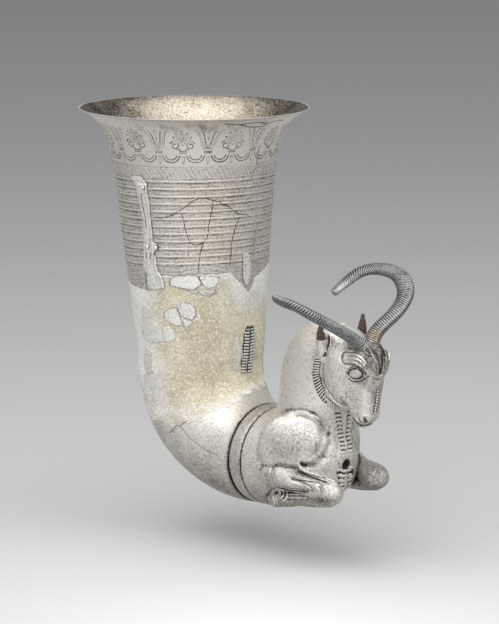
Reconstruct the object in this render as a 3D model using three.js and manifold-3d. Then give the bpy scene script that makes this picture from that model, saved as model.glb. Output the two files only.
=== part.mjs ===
// A silver drinking horn that ends in the forepart of a kneeling antelope.
// Millimetres. +X is the way the animal faces, +Y is its left side, +Z is up.
// The origin is on the underside of the sleeve that joins the horn to the forepart.

import * as THREE from 'three';
import { mergeVertices } from 'three/addons/utils/BufferGeometryUtils.js';
import Module from 'manifold-3d';

const wasm = await Module();
wasm.setup();

const degrees = THREE.MathUtils.degToRad;

// Driving dimensions.
const SHEET = 1.4; // silver sheet of the vessel and the animal
const FIT_GAP = 0.3; // clearance left between seated pieces

const TAIL_RADIUS = 31; // outside of the horn where it meets the forepart
const THROAT_RADIUS = 54.4; // outside of the beaker just under its lip
const LIP_FLARE = 18.3; // how far the lip turns out
const LIP_FLARE_LENGTH = 8.8; // how quickly the lip turns out
const UPPER_LENGTH = 157; // centre line from the mouth to the elbow
const UPPER_LEAN = degrees(5.5); // turn of the centre line over that length
const ELBOW_BEND = 58; // centre line radius of the elbow
const ELBOW_WAIST = 2.9; // how far the elbow is drawn in
const ELBOW_WAIST_AT = 188;
const ELBOW_WAIST_SPREAD = 34;
const TAIL_STRAIGHT = 4.4; // level stretch before the joint

const BAND_TOP = 32; // cable band, measured down the centre line
const BAND_HEIGHT = 7;
const BAND_RELIEF = 0.5;
const RIDGE_START = 41.5;
const RIDGE_PITCH = 4.75;
const RIDGE_COUNT = 12;
const RIDGE_RELIEF = 0.6;
const MOTIF_PAIRS = 11; // palmettes and lotuses alternate round the frieze
const MOTIF_PHASE = degrees(-46.5);
const MOTIF_TOP = 8;
const MOTIF_HEIGHT = 22;
const PETAL_RELIEF = 0.6;

const FILL_THICKNESS = 2.8; // restoration fill, thicker than the sheet it bridges
const INLAY = 1.2; // silver fragments let into the fill

const SLEEVE_SHOWN = 12.6; // part of the sleeve left in view
const SLEEVE_LAP = 8; // length pushed into each side
const SLEEVE_STEP = 0.5; // how far the shown part sits below the skin

const STRAP_THICKNESS = 1.2;
const RIVET_SHANK = 1.1;
const RIVET_HEAD = 2.5;
const RIVET_DOME = 1.3;

const SPOUT_BORE = 3.3; // radius of the pouring hole in the chest
const SPOUT_WALL = 1.5;
const SPOUT_HEIGHT = 36;
const SPOUT_PROUD = 1.4;

const NECK_LAP = 6; // spigot of the neck inside the head
const SPIGOT_EASE = 0.1; // extra clearance round the spigot
const HORN_BASE_RADIUS = 4; // half width in the plane that a horn curls in
const HORN_TIP_RADIUS = 1.9;
const HORN_SWELL = 1.1; // extra half width half way along
const HORN_BASE_THICK = 3.7; // half thickness square to that plane
const HORN_TIP_THICK = 1.6;
const HORN_RIBS = 32;
const HORN_RIB_RELIEF = 0.45;
const EAR_RADIUS = 3.4;
const LEFT_KNEE_RISE = 4.7; // the left foreleg is bent up a little

const ROUND = 36; // segments round the horn
const BODY_ROUND = 24; // segments round the animal's sections
const SLIVER = 0.02; // shorter edges are merged

// Shape helpers.

const point = (x, y, z) => new THREE.Vector3(x, y, z);

function signedVolume(positions, triangles) {
  const a = new THREE.Vector3();
  const b = new THREE.Vector3();
  const c = new THREE.Vector3();
  let sum = 0;
  for (let i = 0; i < triangles.length; i += 3) {
    a.fromArray(positions, triangles[i] * 3);
    b.fromArray(positions, triangles[i + 1] * 3);
    c.fromArray(positions, triangles[i + 2] * 3);
    sum += a.dot(b.cross(c));
  }
  return sum / 6;
}

// A closed skin over rings of equal point count. Its ends are joined together, or closed by fans
// from the given hubs or from the middle of the end rings.
function skin(rings, joined = false, hubs = []) {
  const count = rings[0].length;
  const positions = rings.flat().flatMap((p) => p.toArray());
  const triangles = [];
  const rows = joined ? rings.length : rings.length - 1;
  for (let row = 0; row < rows; row += 1) {
    const next = (row + 1) % rings.length;
    for (let i = 0; i < count; i += 1) {
      const j = (i + 1) % count;
      triangles.push(row * count + i, row * count + j, next * count + j);
      triangles.push(row * count + i, next * count + j, next * count + i);
    }
  }
  if (!joined) {
    [0, rings.length - 1].forEach((row, end) => {
      const middle = new THREE.Vector3();
      rings[row].forEach((p) => middle.addScaledVector(p, 1 / count));
      const hub = positions.length / 3;
      positions.push(...(hubs[end] ?? middle).toArray());
      for (let i = 0; i < count; i += 1) {
        const j = (i + 1) % count;
        if (end === 0) triangles.push(hub, row * count + j, row * count + i);
        else triangles.push(hub, row * count + i, row * count + j);
      }
    });
  }
  if (signedVolume(positions, triangles) < 0) triangles.reverse();
  const geometry = new THREE.BufferGeometry();
  geometry.setAttribute('position', new THREE.Float32BufferAttribute(positions, 3));
  geometry.setIndex(triangles);
  return geometry;
}

function solid(geometry) {
  const bare = geometry.clone();
  bare.deleteAttribute('normal');
  bare.deleteAttribute('uv');
  const merged = mergeVertices(bare, 1e-4);
  return new wasm.Manifold(new wasm.Mesh({
    numProp: 3,
    vertProperties: new Float32Array(merged.attributes.position.array),
    triVerts: new Uint32Array(merged.index.array),
  }));
}

function geometryOf(body) {
  const mesh = body.getMesh();
  const geometry = new THREE.BufferGeometry();
  geometry.setAttribute('position', new THREE.Float32BufferAttribute(mesh.vertProperties, 3));
  geometry.setIndex(Array.from(mesh.triVerts));
  geometry.computeVertexNormals();
  return geometry;
}

const joinAll = (bodies) => bodies.reduce((whole, body) => whole.add(body));
const cutAll = (body, tools) => tools.reduce((rest, tool) => rest.subtract(tool), body);

function largestPiece(body) {
  return body.decompose().reduce((best, piece) => (piece.volume() > best.volume() ? piece : best));
}

// Mirror of a geometry in the animal's middle plane.
function mirrored(geometry) {
  const copy = geometry.clone();
  copy.scale(1, -1, 1);
  copy.setIndex(Array.from(copy.index.array).reverse());
  return copy;
}

// The horn's centre line: an easy arc down from the mouth, then the elbow, ending level along +X.

const upperBend = UPPER_LENGTH / UPPER_LEAN;
const elbowLength = ELBOW_BEND * (Math.PI / 2 - UPPER_LEAN);
const hornLength = UPPER_LENGTH + elbowLength + TAIL_STRAIGHT;
const tailX = -SLEEVE_SHOWN / 2;
const jointHeight = TAIL_RADIUS - SLEEVE_STEP;
const elbowX = tailX - TAIL_STRAIGHT - ELBOW_BEND * Math.cos(UPPER_LEAN);
const elbowZ = jointHeight + ELBOW_BEND * (1 - Math.sin(UPPER_LEAN));
const mouthX = elbowX - upperBend * (1 - Math.cos(UPPER_LEAN));
const mouthZ = elbowZ + upperBend * Math.sin(UPPER_LEAN);

function hornFrame(s) {
  if (s <= UPPER_LENGTH) {
    const turn = s / upperBend;
    const centre = point(mouthX + upperBend * (1 - Math.cos(turn)), 0, mouthZ - upperBend * Math.sin(turn));
    return { centre, turn };
  }
  const left = hornLength - s;
  if (left < TAIL_STRAIGHT) return { centre: point(tailX - left, 0, jointHeight), turn: Math.PI / 2 };
  const turn = UPPER_LEAN + (s - UPPER_LENGTH) / ELBOW_BEND;
  const centre = point(
    elbowX + ELBOW_BEND * (Math.cos(UPPER_LEAN) - Math.cos(turn)),
    0,
    elbowZ - ELBOW_BEND * (Math.sin(turn) - Math.sin(UPPER_LEAN)),
  );
  return { centre, turn };
}

function hornRadius(s) {
  const taper = (TAIL_RADIUS - THROAT_RADIUS) * (s / hornLength);
  const waist = ELBOW_WAIST * Math.exp(-(((s - ELBOW_WAIST_AT) / ELBOW_WAIST_SPREAD) ** 2));
  return THROAT_RADIUS + taper - waist + LIP_FLARE * Math.exp(-s / LIP_FLARE_LENGTH);
}

// The sheet is measured square to its own slope, so the flared lip shows a broad flat rim.
function insideRadius(s, thickness) {
  const slope = -(LIP_FLARE / LIP_FLARE_LENGTH) * Math.exp(-s / LIP_FLARE_LENGTH);
  return hornRadius(s) - thickness * Math.hypot(1, slope);
}

// Angle 0 is the inner side of the bend; a quarter turn is the animal's left.
function hornPoint(s, angle, radius) {
  const { centre, turn } = hornFrame(s);
  const inward = point(Math.cos(turn), 0, Math.sin(turn)).multiplyScalar(radius * Math.cos(angle));
  return centre.add(inward).add(point(0, radius * Math.sin(angle), 0));
}

function hornRing(sAt, radiusAt) {
  return Array.from({ length: ROUND }, (_, i) => {
    const angle = (i / ROUND) * 2 * Math.PI;
    const s = sAt(angle);
    return hornPoint(s, angle, radiusAt(s));
  });
}

// Broken edges run round the horn through a few measured corners of [angle in degrees, distance].
function edgeThrough(corners) {
  return (angle) => {
    const turn = THREE.MathUtils.euclideanModulo(THREE.MathUtils.radToDeg(angle), 360);
    const last = corners[corners.length - 1];
    const first = corners[0];
    const loop = [...corners, [first[0] + 360, first[1]]];
    if (turn < first[0]) {
      const share = (turn + 360 - last[0]) / (first[0] + 360 - last[0]);
      return THREE.MathUtils.lerp(last[1], first[1], share);
    }
    const k = loop.findIndex((corner, i) => i < loop.length - 1 && turn < loop[i + 1][0]);
    const share = (turn - loop[k][0]) / (loop[k + 1][0] - loop[k][0]);
    return THREE.MathUtils.lerp(loop[k][1], loop[k + 1][1], share);
  };
}

const WALL_EDGE = [[7, 115.6], [14, 106], [39, 99.5], [90, 106], [130, 101], [180, 108], [215, 102], [250, 109],
  [277, 111], [291, 100.5], [304, 101.5], [321, 100.4], [340, 101.2], [347, 100.4]];
const ELBOW_EDGE = [[19, 201], [47, 187], [90, 184], [130, 178], [180, 174], [233, 177], [243, 181], [288, 200],
  [316, 210], [342, 216]];
const wallEdge = edgeThrough(WALL_EDGE);
const elbowEdge = edgeThrough(ELBOW_EDGE);

// A petal of the frieze: a low lozenge lying on the beaker.
function petal(s, angle, lean, length, width) {
  const radius = hornRadius(s);
  const spot = (along, across, lift) => {
    const ds = -along * Math.cos(lean) + across * Math.sin(lean);
    const dx = along * Math.sin(lean) + across * Math.cos(lean);
    return hornPoint(s + ds, angle + dx / radius, hornRadius(s + ds) + lift);
  };
  const sink = -0.7 * SHEET;
  const edge = [[0.3, 0.32], [0.6, 0.5]].map(([along, across]) => [along * length, across * width]);
  const facing = edge.map(([along, across]) => [along, -across]).reverse();
  const outline = [[0, 0], ...edge, [length, 0], ...facing];
  const low = outline.map(([along, across]) => spot(along, across, sink));
  return solid(skin([low], false, [spot(length / 2, 0, sink), spot(length * 0.6, 0, PETAL_RELIEF)]));
}

function palmette(angle) {
  const foot = MOTIF_TOP + MOTIF_HEIGHT * 0.62;
  return [-70, -35, 0, 35, 70].map((lean) => petal(foot, angle, degrees(lean), MOTIF_HEIGHT * 0.5, 4));
}

function lotus(angle) {
  const foot = MOTIF_TOP + MOTIF_HEIGHT * 0.75;
  return [-32, 0, 32].map((lean) => petal(foot, angle, degrees(lean), MOTIF_HEIGHT * 0.7, 4.4));
}

// Beaker wall with lip, frieze, cable band and ridges, broken off below.
function beakerWall(rivetHoles) {
  const outer = (relief) => (s) => hornRadius(s) + relief;
  const level = (s) => () => s;
  const rings = [0, 1.5, 3.5, 6, 9, 13, 19, 26].map((s) => hornRing(level(s), outer(0)));
  const bandEnd = BAND_TOP + BAND_HEIGHT;
  rings.push(hornRing(level(BAND_TOP), outer(0)));
  rings.push(hornRing(level(BAND_TOP + BAND_RELIEF), outer(BAND_RELIEF)));
  rings.push(hornRing(level(bandEnd - BAND_RELIEF), outer(BAND_RELIEF)));
  rings.push(hornRing(level(bandEnd), outer(0)));
  for (let ridge = 0; ridge < RIDGE_COUNT; ridge += 1) {
    const s = RIDGE_START + ridge * RIDGE_PITCH;
    rings.push(hornRing(level(s), outer(RIDGE_RELIEF)));
    rings.push(hornRing(level(s + RIDGE_PITCH / 2), outer(0)));
  }
  rings.push(hornRing(wallEdge, outer(0)));
  const inner = (s) => insideRadius(s, SHEET);
  rings.push(hornRing(wallEdge, inner));
  [90, 60, 35, 19, 13, 9, 6, 3.5, 1.5, 0].forEach((s) => rings.push(hornRing(level(s), inner)));
  const petals = Array.from({ length: MOTIF_PAIRS }, (_, i) => {
    const angle = MOTIF_PHASE + (i / MOTIF_PAIRS) * 2 * Math.PI;
    return [...palmette(angle), ...lotus(angle + Math.PI / MOTIF_PAIRS)];
  }).flat();
  return cutAll(joinAll([solid(skin(rings, true)), ...petals]), rivetHoles);
}

function hornShell(from, to, rows, thickness) {
  const between = (share) => (angle) => THREE.MathUtils.lerp(from(angle), to(angle), share);
  const shares = Array.from({ length: rows + 1 }, (_, i) => i / rows);
  const outside = shares.map((share) => hornRing(between(share), hornRadius));
  const inside = shares.map((share) => hornRing(between(share), (s) => insideRadius(s, thickness)));
  return solid(skin([...outside, ...inside.reverse()], true));
}

// A patch lying in the horn's surface round its own centre.
function hornPatch(spot, outline, below, above, grow = 0) {
  const corner = (turn, share, lift) => {
    const [across, down] = outline(turn, grow);
    const s = spot.s + share * down;
    const angle = spot.angle + (share * across) / hornRadius(spot.s);
    return hornPoint(s, angle, hornRadius(s) + lift);
  };
  const turns = Array.from({ length: 16 }, (_, i) => (i / 16) * 2 * Math.PI);
  const ring = (share, lift) => turns.map((turn) => corner(turn, share, lift));
  return solid(skin([ring(0.5, below), ring(1, below), ring(1, above), ring(0.5, above)]));
}

// A strap lying over the horn along a short path of {s, angle, half width}.
function strapBody(stations, rows, floor) {
  const path = new THREE.CatmullRomCurve3(stations.map(({ s, angle, half }) => point(s, angle, half)));
  const rings = Array.from({ length: rows + 1 }, (_, i) => {
    const { x: s, y: angle, z: half } = path.getPoint(i / rows);
    const base = hornRadius(s) + floor;
    const top = base + STRAP_THICKNESS;
    const edge = base + STRAP_THICKNESS * 0.45;
    const corners = [[-1, base], [0, base], [1, base], [1, edge], [0.6, top], [0, top], [-0.6, top], [-1, edge]];
    return corners.map(([side, radius]) => hornPoint(s, angle + (side * half) / hornRadius(s), radius));
  });
  return solid(skin(rings));
}

// A lathed body turned to stand along the horn's outward direction at one spot.
function standingOn(profile, spot) {
  const geometry = new THREE.LatheGeometry(profile.map(([r, h]) => new THREE.Vector2(r, h)), 10);
  const out = hornPoint(spot.s, spot.angle, 1).sub(hornPoint(spot.s, spot.angle, 0));
  geometry.applyQuaternion(new THREE.Quaternion().setFromUnitVectors(point(0, 1, 0), out));
  const foot = hornPoint(spot.s, spot.angle, 0);
  geometry.translate(foot.x, foot.y, foot.z);
  return solid(geometry);
}

// Sections of the animal: [x, z, pitch of the section's normal in degrees, half width, half height].
function sectionRing(x, z, pitch, halfWidth, halfHeight) {
  const tilt = degrees(pitch);
  return Array.from({ length: BODY_ROUND }, (_, i) => {
    const angle = (i / BODY_ROUND) * 2 * Math.PI;
    const across = halfWidth * Math.cos(angle);
    const up = halfHeight * Math.sin(angle);
    return point(x - up * Math.sin(tilt), across, z + up * Math.cos(tilt));
  });
}

// A smooth body through its sections. The lead lengthens its open first end, for cutting.
function bodyLoft(sections, rows, grow = 0, lead = 0) {
  const line = new THREE.CatmullRomCurve3(sections.map(([x, z, pitch]) => point(x, z, pitch)), false, 'catmullrom');
  const size = new THREE.CatmullRomCurve3(sections.map(([, , , w, h]) => point(w, h, 0)), false, 'catmullrom');
  const rings = Array.from({ length: rows + 1 }, (_, i) => {
    const { x, y: z, z: pitch } = line.getPoint(i / rows);
    const { x: halfWidth, y: halfHeight } = size.getPoint(i / rows);
    const shift = i === rows ? grow : 0;
    const back = i === 0 ? lead : 0;
    const slide = shift - back;
    return sectionRing(
      x + slide * Math.cos(degrees(pitch)),
      z + slide * Math.sin(degrees(pitch)),
      pitch,
      Math.max(halfWidth + grow, 0.5),
      Math.max(halfHeight + grow, 0.5),
    );
  });
  return solid(skin(rings));
}

function ellipsoid(centre, radii, turn = 0, grow = 0) {
  const geometry = new THREE.SphereGeometry(1, 16, 10);
  geometry.scale(radii[0] + grow, radii[1] + grow, radii[2] + grow);
  geometry.rotateZ(degrees(turn));
  geometry.translate(...centre);
  return solid(geometry);
}

// A limb of round sections along a curve: [x, y, z, radius].
function limb(stations, rows, sides, grow = 0) {
  const path = new THREE.CatmullRomCurve3(stations.map(([x, y, z]) => point(x, y, z)));
  const size = new THREE.CatmullRomCurve3(stations.map(([, , , r]) => point(r, 0, 0)));
  const rings = Array.from({ length: rows + 1 }, (_, i) => {
    const along = path.getTangent(i / rows);
    const side = point(0, 0, 1).cross(along).normalize();
    const up = along.clone().cross(side);
    const centre = path.getPoint(i / rows);
    const radius = size.getPoint(i / rows).x + grow;
    return Array.from({ length: sides }, (__, k) => {
      const angle = (k / sides) * 2 * Math.PI;
      return centre.clone()
        .addScaledVector(side, radius * Math.cos(angle))
        .addScaledVector(up, radius * Math.sin(angle));
    });
  });
  return skin(rings);
}

// The animal's forms, shared by the pieces that have to clear them.

const barrelX = SLEEVE_SHOWN / 2;
const BARREL = [
  [barrelX, jointHeight, 0, TAIL_RADIUS, TAIL_RADIUS],
  [20, 31.8, 1, 31, 30.8],
  [34, 35, 5, 29.5, 28.8],
  [48, 38, 8, 25, 26],
  [58, 39, 10, 18.5, 22.5],
  [64.5, 39.5, 10, 11.5, 16],
  [67.5, 40, 10, 4.5, 7],
];
const NECK = [
  [40, 40, 90, 22, 26],
  [40, 58, 89, 20.5, 26.5],
  [40.5, 74, 84, 19.3, 26],
  [43.5, 91, 64, 18.4, 25.5],
  [51, 100.5, 36, 17.4, 23.2],
  [59.5, 101.3, 9, 16, 21.3],
  [65, 100, 2, 15.5, 21.5],
];
const HEAD = [
  NECK[NECK.length - 1],
  [71, 97, -8, 15.5, 22.5],
  [78, 91.5, -30, 14.6, 21.5],
  [82.5, 84, -52, 12, 17],
  [84.5, 76.5, -60, 8.8, 12.6],
  [85.5, 70.5, -64, 7.6, 10.2],
  [86, 66, -68, 6.6, 8],
  [86, 62.8, -70, 3.6, 4.4],
];
const FORELOCK = { centre: [88, 0, 101], radii: [10.5, 12.5, 13] };
const SHOULDER = { centre: [42, 20, 46], radii: [22, 9, 19], turn: -28 };
const BODY_ROWS = 11;

const neckEnd = NECK[NECK.length - 1];
const spigotAt = (length) => [
  neckEnd[0] + length * Math.cos(degrees(neckEnd[2])),
  neckEnd[1] + length * Math.sin(degrees(neckEnd[2])),
  ...neckEnd.slice(2),
];

function shoulders(grow) {
  return [1, -1].map((side) => ellipsoid(
    [SHOULDER.centre[0], side * SHOULDER.centre[1], SHOULDER.centre[2]],
    SHOULDER.radii,
    side * SHOULDER.turn,
    grow,
  ));
}

function bodyForm(grow) {
  return joinAll([bodyLoft(BARREL, BODY_ROWS, grow), bodyLoft(NECK, BODY_ROWS, grow), ...shoulders(grow)]);
}

function headForm(grow) {
  return joinAll([bodyLoft(HEAD, BODY_ROWS, grow), ellipsoid(FORELOCK.centre, FORELOCK.radii, 0, grow)]);
}

// A tube with ribs round it, along a curve through a few points. It may be flattened along one direction.
function ribbedTube(points, ribs, sides, radiusAt, flatWay = point(0, 0, 0), flatAt = () => 1) {
  const rows = ribs * 2;
  const path = new THREE.CatmullRomCurve3(points.map((p) => point(...p)));
  const rings = Array.from({ length: rows + 1 }, (_, i) => {
    const share = i / rows;
    const along = path.getTangentAt(share);
    const side = point(0, 0, 1).cross(along).normalize();
    const up = along.clone().cross(side);
    const centre = path.getPointAt(share);
    const radius = radiusAt(share, i % 2);
    const flat = flatWay.clone().addScaledVector(along, -flatWay.dot(along)).normalize();
    return Array.from({ length: sides }, (__, k) => {
      const angle = (k / sides) * 2 * Math.PI;
      const out = side.clone().multiplyScalar(radius * Math.cos(angle)).addScaledVector(up, radius * Math.sin(angle));
      return centre.clone().add(out).addScaledVector(flat, out.dot(flat) * (flatAt(share) - 1));
    });
  });
  return skin(rings);
}

// The two horns were bent by hand and differ a little.
const HORN_RIGHT = [
  [86, -3, 111], [82, -12, 118.5], [80.5, -27, 127], [77, -37, 133], [69.5, -42.5, 137.5],
  [60.5, -43, 139.7], [51.5, -39, 139.6], [46, -31, 136.6], [43.5, -16, 129.4],
];
const HORN_LEFT = [
  [86, 3, 111], [81.5, 12, 117.8], [79, 31, 128], [72.6, 43.5, 136], [60.5, 51, 143],
  [49, 52, 146], [37.5, 48, 146], [32, 39, 142.5], [32.3, 21, 133],
];

function hornOfAnimal(points, grow) {
  const [base, middle, tip] = [0, 4, 8].map((place) => point(...points[place]));
  const across = middle.sub(base).cross(tip.sub(base)).normalize();
  const widthAt = (share) => THREE.MathUtils.lerp(HORN_BASE_RADIUS, HORN_TIP_RADIUS, share ** 2.6)
    + HORN_SWELL * Math.sin(Math.PI * share);
  const thickAt = (share) => THREE.MathUtils.lerp(HORN_BASE_THICK, HORN_TIP_THICK, share ** 0.8);
  return solid(ribbedTube(
    points,
    HORN_RIBS,
    8,
    (share, rib) => widthAt(share) + rib * HORN_RIB_RELIEF + grow,
    across,
    (share) => (thickAt(share) + grow) / (widthAt(share) + grow),
  ));
}

// Ears are broken stubs, the right one shorter.
function ear(side, tipHeight, grow) {
  const stations = [
    [66, side * 11, 97, EAR_RADIUS * 0.6],
    [64, side * 14.5, 103, EAR_RADIUS],
    [63.5, side * 16.5, THREE.MathUtils.lerp(103, tipHeight, 0.6), EAR_RADIUS * 0.8],
    [63.5, side * 17, tipHeight, EAR_RADIUS * 0.35],
  ];
  return solid(limb(stations, 8, 10, grow));
}

const FOREARM = [
  [30, -27, 27, 6.2],
  [42, -26, 27, 7.2],
  [57, -22, 24.5, 6.3],
  [70, -19, 22.8, 7.6],
  [75.5, -18.6, 22, 7.4],
  [80, -18.4, 21.5, 3],
];
const CANNON = [
  [74, -18.6, 18.5, 5],
  [62, -19, 15.5, 4.2],
  [48, -20, 14, 4.2],
  [40, -20.5, 12.2, 4.6],
  [35, -20.7, 11.2, 4],
  [29, -21, 10.6, 5],
  [25, -21, 10.4, 3.5],
];

// The ruff runs round the cheeks from ear to ear, under the throat.
const RUFF_SIDE = [[63.8, 15.6, 101], [63.4, 16.6, 89], [63.9, 15.5, 79.7], [67, 11.5, 72.2], [69.5, 5.5, 66.8]];
const RUFF_RADIUS = 2.9;
const RUFF_TONGUES = 24;
const RUFF_RELIEF = 0.7;
function ruffStrip() {
  const near = RUFF_SIDE.map(([x, y, z]) => [x, -y, z]);
  const points = [...near, [70.5, 0, 65], ...RUFF_SIDE.slice().reverse()];
  return solid(ribbedTube(points, RUFF_TONGUES, 8, (share, rib) => RUFF_RADIUS + rib * RUFF_RELIEF));
}

// Build the pieces.

const rivetSpots = [
  { s: 45.8, angle: degrees(-78) },
  { s: 83.2, angle: degrees(-79) },
  { s: 83.6, angle: degrees(-71) },
];
const STRAP_FLOOR = RIDGE_RELIEF + FIT_GAP;
const rivetFloor = (s) => hornRadius(s) + STRAP_FLOOR + STRAP_THICKNESS;
const rivetHoles = rivetSpots.map((spot) => standingOn([
  [0, hornRadius(spot.s) - 3 * SHEET],
  [RIVET_SHANK + FIT_GAP, hornRadius(spot.s) - 3 * SHEET],
  [RIVET_SHANK + FIT_GAP, rivetFloor(spot.s) + 1],
  [0, rivetFloor(spot.s) + 1],
], spot));

const rivets = rivetSpots.map((spot) => {
  const base = rivetFloor(spot.s) + FIT_GAP;
  return standingOn([
    [0, insideRadius(spot.s, SHEET)],
    [RIVET_SHANK, insideRadius(spot.s, SHEET)],
    [RIVET_SHANK, base],
    [RIVET_HEAD, base],
    [RIVET_HEAD * 0.8, base + RIVET_DOME * 0.7],
    [RIVET_HEAD * 0.4, base + RIVET_DOME],
    [0, base + RIVET_DOME * 1.05],
  ], spot);
});

const longStrap = cutAll(strapBody([
  { s: 40, angle: degrees(-80), half: 3.6 },
  { s: 64, angle: degrees(-78), half: 2.9 },
  { s: 85, angle: degrees(-75.5), half: 5.6 },
  { s: 110, angle: degrees(-72), half: 8.5 },
], 16, STRAP_FLOOR), rivetHoles);
const shortStrap = strapBody([
  { s: 91, angle: degrees(2.5), half: 2.4 },
  { s: 110, angle: degrees(3), half: 2.2 },
], 5, STRAP_FLOOR);

// Silver fragments let into pockets of the fill.
function broken(across, down, wobble, turns, phase) {
  return (turn, grow) => {
    const share = 1 + wobble * Math.sin(turns * turn + phase);
    return [(across * share + grow) * Math.cos(turn), (down * share + grow) * Math.sin(turn)];
  };
}
function oblong(across, down) {
  const fuller = (value) => Math.sign(value) * Math.sqrt(Math.abs(value));
  return (turn, grow) => [(across + grow) * fuller(Math.cos(turn)), (down + grow) * fuller(Math.sin(turn))];
}
const FRAGMENTS = {
  fragment_upper: { s: 108.5, angle: -42, outline: broken(15, 5, 0.08, 4, 1) },
  fragment_round_a: { s: 125.5, angle: -66.5, outline: broken(5, 5.6, 0.1, 3, 0.4) },
  fragment_round_b: { s: 123.5, angle: -50.5, outline: broken(5.6, 4.6, 0.12, 3, 2) },
  fragment_round_c: { s: 132.4, angle: -55, outline: broken(5.4, 3.6, 0.1, 3, 1) },
  fragment_flank_a: { s: 134, angle: -92, outline: broken(9, 8, 0.15, 3, 0.8) },
  fragment_flank_b: { s: 158, angle: -106, outline: broken(11, 12, 0.12, 3, 2.2) },
  fragment_strip: { s: 160, angle: -5, outline: oblong(2, 17) },
  fragment_feather: { s: 159, angle: 9.5, outline: oblong(4.6, 24) },
};
const fragmentBodies = {};
const pockets = [];
Object.entries(FRAGMENTS).forEach(([name, { s, angle, outline }]) => {
  const centre = { s, angle: degrees(angle) };
  fragmentBodies[name] = hornPatch(centre, outline, -INLAY, 0);
  pockets.push(hornPatch(centre, outline, -INLAY - FIT_GAP, 2, FIT_GAP));
});

const fillShell = cutAll(
  hornShell((angle) => wallEdge(angle) + FIT_GAP, (angle) => elbowEdge(angle) - FIT_GAP, 7, FILL_THICKNESS),
  pockets,
);
const elbowShell = hornShell(elbowEdge, () => hornLength - FIT_GAP, 8, SHEET);

// The sleeve is turned about the joint's level axis.
const lapRadius = TAIL_RADIUS - SHEET - FIT_GAP;
const shownRadius = TAIL_RADIUS - SLEEVE_STEP;
const sleeveProfile = [
  [lapRadius - SHEET, -barrelX - SLEEVE_LAP],
  [lapRadius, -barrelX - SLEEVE_LAP],
  [lapRadius, -barrelX],
  [shownRadius, -barrelX],
  [shownRadius, barrelX],
  [lapRadius, barrelX],
  [lapRadius, barrelX + SLEEVE_LAP],
  [lapRadius - SHEET, barrelX + SLEEVE_LAP],
  [lapRadius - SHEET, -barrelX - SLEEVE_LAP],
];
const sleeveTurned = new THREE.LatheGeometry(sleeveProfile.map(([r, x]) => new THREE.Vector2(r, x)), ROUND);
sleeveTurned.rotateZ(-Math.PI / 2);
sleeveTurned.translate(0, 0, jointHeight);
const sleeve = solid(sleeveTurned);

// Pouring spout through the chest.
const chestX = 65;
const spoutOuter = SPOUT_BORE + SPOUT_WALL;
function alongX(profile, height) {
  const geometry = new THREE.LatheGeometry(profile.map(([r, x]) => new THREE.Vector2(r, x)), ROUND);
  geometry.rotateZ(-Math.PI / 2);
  geometry.translate(0, 0, height);
  return solid(geometry);
}
const spoutFront = chestX + SPOUT_PROUD + 2;
const spoutBack = chestX - 4;
const spoutRing = alongX([
  [SPOUT_BORE, spoutBack],
  [spoutOuter, spoutBack],
  [spoutOuter, spoutFront - 0.6],
  [spoutOuter - 0.6, spoutFront],
  [SPOUT_BORE, spoutFront],
  [SPOUT_BORE, spoutBack],
], SPOUT_HEIGHT);
const spoutHole = alongX([
  [0, spoutBack - 8],
  [spoutOuter + FIT_GAP, spoutBack - 8],
  [spoutOuter + FIT_GAP, spoutFront + 10],
  [0, spoutFront + 10],
], SPOUT_HEIGHT);

const neckWall = 2 * SHEET + FIT_GAP;
const spigot = bodyLoft([spigotAt(-4), spigotAt(NECK_LAP)], 1, -(SHEET + FIT_GAP));
const spigotBore = bodyLoft([spigotAt(-6), spigotAt(NECK_LAP + 2 * neckWall)], 1, -neckWall);
const bodyHollow = joinAll([
  bodyLoft(BARREL, BODY_ROWS, -SHEET, 2),
  bodyLoft(NECK, BODY_ROWS, -neckWall),
  spigotBore,
]);
const sleeveSeat = alongX([
  [0, barrelX - 1],
  [lapRadius + FIT_GAP, barrelX - 1],
  [lapRadius + FIT_GAP, barrelX + SLEEVE_LAP + FIT_GAP],
  [0, barrelX + SLEEVE_LAP + FIT_GAP],
], jointHeight);
const RIGHT_EAR_TIP = 123;
const LEFT_EAR_TIP = 125.5;
const hornClear = [HORN_RIGHT, HORN_LEFT].map((points) => hornOfAnimal(points, FIT_GAP));
const earClear = [ear(-1, RIGHT_EAR_TIP, FIT_GAP), ear(1, LEFT_EAR_TIP, FIT_GAP)];
const bodyCuts = [bodyHollow, sleeveSeat, spoutHole, ...earClear];
const protome = largestPiece(cutAll(joinAll([bodyForm(0), spigot]), bodyCuts));

const neckClear = bodyLoft(NECK, BODY_ROWS, FIT_GAP);
const spigotSeat = bodyLoft([spigotAt(-4), spigotAt(NECK_LAP + FIT_GAP)], 1, -SHEET + SPIGOT_EASE);
const headHollow = bodyLoft(HEAD, BODY_ROWS, -SHEET, 1);
const head = largestPiece(cutAll(headForm(0), [
  neckClear,
  headHollow,
  spigotSeat,
  ...hornClear,
  ...earClear,
]));

const bodyClear = bodyForm(FIT_GAP);
const foreleg = geometryOf(joinAll([limb(FOREARM, 10, 12), limb(CANNON, 12, 10)].map(solid)));
const legRight = largestPiece(solid(foreleg).subtract(bodyClear));
const raised = mirrored(foreleg).translate(0, 0, LEFT_KNEE_RISE);
const legLeft = largestPiece(solid(raised).subtract(bodyClear));

const ruff = largestPiece(cutAll(ruffStrip(), [neckClear, headForm(FIT_GAP), ...earClear]));

const horns = [HORN_RIGHT, HORN_LEFT].map((points) => hornOfAnimal(points, 0));
const ears = [ear(-1, RIGHT_EAR_TIP, 0), ear(1, LEFT_EAR_TIP, 0)]
  .map((body) => largestPiece(body.subtract(neckClear)));

// Named nodes with their materials.

const SILVER = 0xb9b4a8;
const DARK_SILVER = 0x77736c;
const FILL = 0x8f8468;
const CORROSION = 0x6b4a33;
const GILT = 0xa98a4c;

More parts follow.
